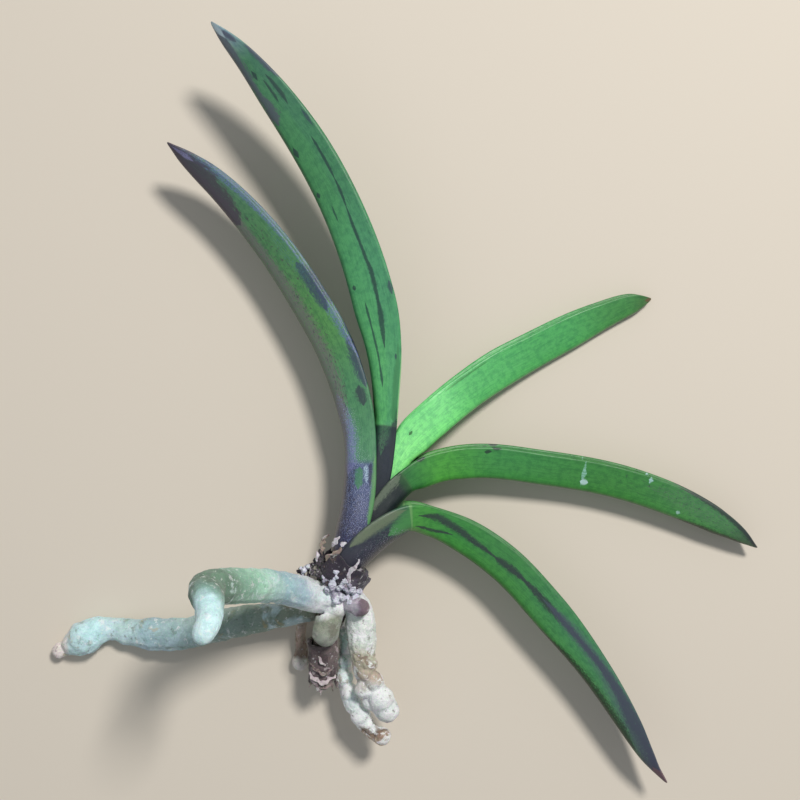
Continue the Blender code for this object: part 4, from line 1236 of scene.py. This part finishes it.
def ribbon(name, rows, fray, material):
    """A curled strip of dry sheath through rows of x, y, z, width and tilt in degrees."""
    bpy.ops.mesh.primitive_grid_add(
        x_subdivisions=RIBBON_STEPS, y_subdivisions=RIBBON_ACROSS, size=2.0)
    piece = bpy.context.object
    piece.name = name
    table = np.array(rows)
    places = distances(table[:, :3])
    columns = [(column, np.gradient(column, places)) for column in table.T]
    for vertex in piece.data.vertices:
        where = (vertex.co.x + 1) / 2 * places[-1]
        here = between(places, columns, where)
        ahead = between(places, columns, min(where + DIRECTION_REACH, places[-1]))
        behind = between(places, columns, max(where - DIRECTION_REACH, 0.0))
        along = Vector(np.subtract(ahead[:3], behind[:3])).normalized()
        side = along.cross(Vector((0.0, 0.0, 1.0))).normalized()
        side = side @ Matrix.Rotation(math.radians(here[4]), 3, along)
        spread = vertex.co.y * here[3] / 2
        tear = noise.noise(Vector((where * 2.3, vertex.co.y * 1.7, table[0, 0])))
        drift = noise.noise(Vector((where * 1.3, table[0, 1], table[0, 0])))
        point = Vector(here[:3]) + side * (spread * (1.0 + fray * 2.0 * tear) + CRUMPLE * drift)
        point.z += LIFT * noise.noise(Vector((where * 1.4, vertex.co.y, table[0, 1])))
        vertex.co = to_metres(point)
    solidify = piece.modifiers.new("paper", "SOLIDIFY")
    solidify.thickness = PAPER * MM
    solidify.offset = 0.0
    smooth = piece.modifiers.new("smooth", "SUBSURF")
    smooth.levels = smooth.render_levels = 1
    apply_all(piece)
    finish_piece(piece, material, "dry_remains")


pale_paper = velvet("pale_paper", "Y", [
    (-40.0, srgb(196, 182, 186)), (-32.0, srgb(200, 188, 192)), (-15.0, srgb(222, 216, 226)),
], [(srgb(130, 114, 122), 760.0, 0.50, 0.60, 0.7)], 0.4, 0.5, 0.05, 0.6)
tan_paper = velvet("tan_paper", "Y", [(-40.0, srgb(138, 120, 120)), (-15.0, srgb(160, 138, 130))],
                   [(srgb(74, 58, 62), 760.0, 0.48, 0.58, 0.8)], 0.4, 0.3, 0.05, 0.6)

# %% Torn edges of the collar
TORN_EDGES = {
    "torn_strip": (pale_paper, 0.6, [
        (-8.2, -24.4, 12.3, 1.4, 10), (-7.5, -23.6, 13.2, 1.4, 15), (-6.5, -22.6, 13.9, 1.0, 25),
        (-5.8, -21.8, 14.2, 0.55, 30), (-5.3, -20.7, 14.3, 0.15, 30)]),
    "torn_petal": (pale_paper, 0.4, [
        (-8.9, -19.3, 13.0, 0.2, 20), (-8.6, -18.8, 13.5, 0.75, 30), (-8.2, -18.2, 13.7, 0.6, 30),
        (-7.9, -17.8, 13.6, 0.15, 20)]),
    "torn_rim_1": (tan_paper, 0.9, [
        (-7.6, -19.4, 13.2, 0.2, 20), (-8.3, -19.9, 13.4, 0.6, 25), (-9.1, -20.3, 13.4, 0.5, 30),
        (-9.6, -21.2, 13.0, 0.2, 30)]),
    "torn_rim_2": (tan_paper, 0.9, [
        (-9.3, -17.6, 13.0, 0.2, 20), (-10.0, -18.4, 13.1, 0.55, 20), (-10.3, -19.4, 13.0, 0.5, 30),
        (-10.1, -20.4, 12.9, 0.2, 30)]),
    "torn_hook": (tan_paper, 0.9, [
        (-9.9, -21.6, 12.6, 0.2, 10), (-9.2, -22.0, 12.9, 0.5, 10), (-8.4, -21.6, 13.1, 0.35, 20),
        (-8.2, -20.9, 13.2, 0.15, 30)]),
    "torn_fleck": (pale_paper, 0.4, [
        (-10.9, -19.9, 12.7, 0.15, 20), (-10.9, -20.5, 13.0, 0.45, 20),
        (-10.8, -21.2, 12.8, 0.15, 20)]),
    "torn_spot": (pale_paper, 0.6, [
        (-7.8, -19.0, 13.4, 0.25, 10), (-7.4, -18.8, 13.5, 0.5, 10),
        (-7.0, -18.8, 13.4, 0.15, 10)]),
}
for ribbon_name, (paper, fray, rows) in TORN_EDGES.items():
    ribbon(ribbon_name, rows, fray, paper)

# %% [markdown]
# The stem's old end wears a fringe of dry fibres. It is made of the same ribbons, because it is the
# same dry sheath: bands that lie round the end, and narrow spikes that stick out past it.

# %% Fringe of the stub
FRINGE = {
    "fringe_band_1": (pale_paper, [
        (-12.2, -36.9, 7.6, 0.2, 10), (-11.6, -37.8, 8.1, 0.5, 20), (-10.6, -38.2, 8.3, 0.5, 25),
        (-9.6, -38.0, 8.2, 0.45, 25), (-8.8, -37.3, 7.8, 0.2, 20)]),
    "fringe_band_2": (tan_paper, [
        (-12.0, -38.0, 7.2, 0.2, 10), (-11.3, -38.8, 7.6, 0.45, 20), (-10.2, -39.0, 7.8, 0.45, 25),
        (-9.2, -38.6, 7.5, 0.2, 20)]),
    "fringe_band_3": (pale_paper, [
        (-11.4, -39.1, 7.1, 0.15, 10), (-10.6, -39.6, 7.3, 0.35, 20),
        (-9.8, -39.4, 7.4, 0.15, 20)]),
    "fringe_curl": (pale_paper, [
        (-11.0, -34.6, 8.7, 0.12, 10), (-10.6, -35.2, 8.9, 0.35, 20),
        (-10.1, -35.9, 8.8, 0.15, 20)]),
    "fringe_tear": (tan_paper, [
        (-12.1, -35.6, 7.9, 0.15, 10), (-11.3, -36.5, 8.6, 0.4, 20), (-10.2, -36.9, 8.8, 0.35, 20),
        (-9.2, -36.6, 8.4, 0.12, 20)]),
    "fringe_spike_1": (tan_paper, [
        (-11.9, -37.8, 7.2, 0.4, 10), (-12.1, -38.6, 7.0, 0.3, 20), (-12.3, -39.3, 6.8, 0.1, 30)]),
    "fringe_spike_2": (pale_paper, [
        (-11.0, -38.6, 7.6, 0.45, 10), (-10.9, -39.5, 7.4, 0.3, 20), (-10.9, -40.3, 7.2, 0.1, 30)]),
    "fringe_spike_3": (tan_paper, [
        (-9.6, -38.3, 7.6, 0.4, 10), (-9.3, -39.0, 7.5, 0.25, 20), (-9.0, -39.6, 7.4, 0.1, 30)]),
}
for ribbon_name, (paper, rows) in FRINGE.items():
    ribbon(ribbon_name, rows, 0.7, paper)

# %% [markdown]
# ### Crumbs
#
# Crumbs of bark and dry velamen cling where the roots leave the stem. They could be scattered as
# separate stones, but the real ones stick together. So each place gets a few small lumps, a voxel
# remesh melts them into one mass, and two noises roughen the skin of the whole handful.

# %% Crumbs
LUMPS_IN_A_CRUMB = 7
LUMP_SPREAD = 0.75
SMALLEST_LUMP = 0.28
LARGEST_LUMP = 0.6
CRUMB_VOXEL = 0.09


def crumbs(name, places, material):
    """Small heaps of lumps at places given as x, y, z and radius."""
    random.seed(len(name))
    lumps = []
    for x, y, z, radius in places:
        for _ in range(LUMPS_IN_A_CRUMB):
            middle = [
                value + random.uniform(-LUMP_SPREAD, LUMP_SPREAD) * radius for value in (x, y, z)
            ]
            size = radius * random.uniform(SMALLEST_LUMP, LARGEST_LUMP)
            bpy.ops.mesh.primitive_ico_sphere_add(
                subdivisions=2, radius=size * MM, location=to_metres(middle))
            lumps.append(bpy.context.object)
    select_only(lumps[0])
    for lump in lumps:
        lump.select_set(True)
    bpy.ops.object.join()
    piece = bpy.context.object
    bpy.ops.object.transform_apply(location=True, rotation=True, scale=True)
    piece.name = name
    melt = piece.modifiers.new("melt", "REMESH")
    melt.mode = "VOXEL"
    melt.voxel_size = CRUMB_VOXEL * MM
    displace(piece, name + "_lumps", 0.6, 0.7)
    displace(piece, name + "_grain", 0.2, 0.2)
    apply_all(piece)
    finish_piece(piece, material, "dry_remains")


dark_crumb = velvet("dark_crumb", "Y", [(-40.0, srgb(74, 64, 68)), (-15.0, srgb(72, 64, 74))],
                    [(srgb(176, 170, 180), 620.0, 0.56, 0.62, 0.75)], 0.6, 0.35, 0.15)
pale_crumb = velvet("pale_crumb", "Y", [(-40.0, srgb(222, 222, 234)), (-15.0, srgb(214, 214, 230))],
                    [(srgb(128, 120, 142), 560.0, 0.50, 0.58, 0.75)], 0.5, 0.6, 0.16)
crumbs("pale_crumbs", [
    (-12.6, -22.5, 12.0, 0.7), (-9.0, -23.2, 12.9, 0.9), (-8.2, -24.0, 12.9, 1.0),
    (-9.7, -23.6, 12.6, 0.6), (-7.5, -24.9, 12.6, 1.05), (-8.8, -25.0, 12.4, 1.0),
    (-6.5, -25.0, 12.1, 0.85), (-8.0, -25.9, 12.2, 0.9), (-7.1, -26.1, 12.0, 0.8),
    (-5.6, -25.4, 11.5, 0.75), (-7.0, -23.9, 12.9, 0.7), (-6.1, -26.4, 11.7, 0.7),
], pale_crumb)
crumbs("dark_crumbs", [
    (-11.8, -22.2, 11.8, 0.65), (-11.1, -21.6, 12.0, 0.6), (-11.2, -22.7, 12.2, 0.55),
    (-10.5, -22.8, 12.3, 0.6), (-5.7, -23.4, 12.2, 0.6), (-5.2, -22.6, 11.9, 0.5),
    (-6.3, -23.6, 12.5, 0.5), (-5.0, -24.2, 11.4, 0.5), (-13.2, -22.8, 10.9, 0.55),
    (-12.2, -23.4, 11.8, 0.5), (-6.0, -24.4, 12.3, 0.45), (-9.5, -22.4, 12.8, 0.5),
], dark_crumb)

# %% [markdown]
# ## Table
#
# A wide plane takes the plant's shadows. It lies a hair below the plant, so that the two surfaces
# don't flicker where they touch.

# %% Table
TABLE_SIZE = 3.0
TABLE_GAP = 0.02

bpy.ops.mesh.primitive_plane_add(size=TABLE_SIZE, location=(0.0, 0.0, -TABLE_GAP * MM))
table = bpy.context.object
table.name = "table"
table_paint = Shade("table_paint", 0.7)
table_paint.colour((*srgb(216, 207, 194), 1.0))
table.data.materials.append(table_paint.material)
print("table is", TABLE_SIZE, "m wide")


# %% [markdown]
# ## Light
#
# One lamp shines from the upper right and gives the plant its shadows. It is a disk and not a
# point, because its width makes the shadows' edges soft. A weak second lamp from the other side
# and a pale sky lift the darkest parts of the shadows.

# %% Light
KEY_DIRECTION = Vector((-0.38, -0.54, -1.0)).normalized()
FILL_DIRECTION = Vector((0.5, 0.2, -1.0)).normalized()
KEY_DISTANCE = 0.6
FILL_DISTANCE = 0.8
KEY_SIZE = 0.11
FILL_SIZE = 0.8
KEY_POWER = 3.0
FILL_POWER = 0.5
WARM_WHITE = (1.0, 0.97, 0.92)
COOL_WHITE = (0.86, 0.94, 1.0)
SKY = (0.90, 0.95, 1.0, 1.0)
SKY_STRENGTH = 0.26


def area_light(name, direction, distance, size, power, colour):
    """A soft light that shines along a direction onto the plant."""
    lamp = bpy.data.lights.new(name, "AREA")
    lamp.shape = "DISK"
    lamp.size = size
    lamp.energy = power
    lamp.color = colour
    light = bpy.data.objects.new(name, lamp)
    light.location = -direction * distance
    light.rotation_euler = direction.to_track_quat("-Z", "Y").to_euler()
    bpy.context.scene.collection.objects.link(light)


area_light("key", KEY_DIRECTION, KEY_DISTANCE, KEY_SIZE, KEY_POWER, WARM_WHITE)
area_light("fill", FILL_DIRECTION, FILL_DISTANCE, FILL_SIZE, FILL_POWER, COOL_WHITE)
world = bpy.data.worlds.new("studio")
bpy.context.scene.world = world
world.use_nodes = True
world.node_tree.nodes["Background"].inputs["Color"].default_value = SKY
world.node_tree.nodes["Background"].inputs["Strength"].default_value = SKY_STRENGTH
bpy.context.scene.view_settings.view_transform = "Standard"
print("key light", KEY_POWER, "W, fill light", FILL_POWER, "W, sky", SKY_STRENGTH)

# %% [markdown]
# ## Camera
#
# The camera looks straight down from 160 mm above the table. FOCAL_PIXELS says how strong its lens
# is: a thing that is as far away as it is wide fills that many pixels. The widths of the sensor
# and the picture turn it into the focal length in millimetres that Blender asks for.

# %% Camera
CAMERA_HEIGHT = 160.0
FOCAL_PIXELS = 1120.0
PICTURE_PIXELS = 800.0
SENSOR = 36.0
NEAREST = 0.01

lens = bpy.data.cameras.new("camera")
lens.sensor_width = SENSOR
lens.lens = SENSOR * FOCAL_PIXELS / PICTURE_PIXELS
lens.clip_start = NEAREST
camera = bpy.data.objects.new("camera", lens)
camera.location = to_metres((0.0, 0.0, CAMERA_HEIGHT))
bpy.context.scene.collection.objects.link(camera)
bpy.context.scene.camera = camera
print("camera is", CAMERA_HEIGHT, "mm above the table, with a", lens.lens, "mm lens")
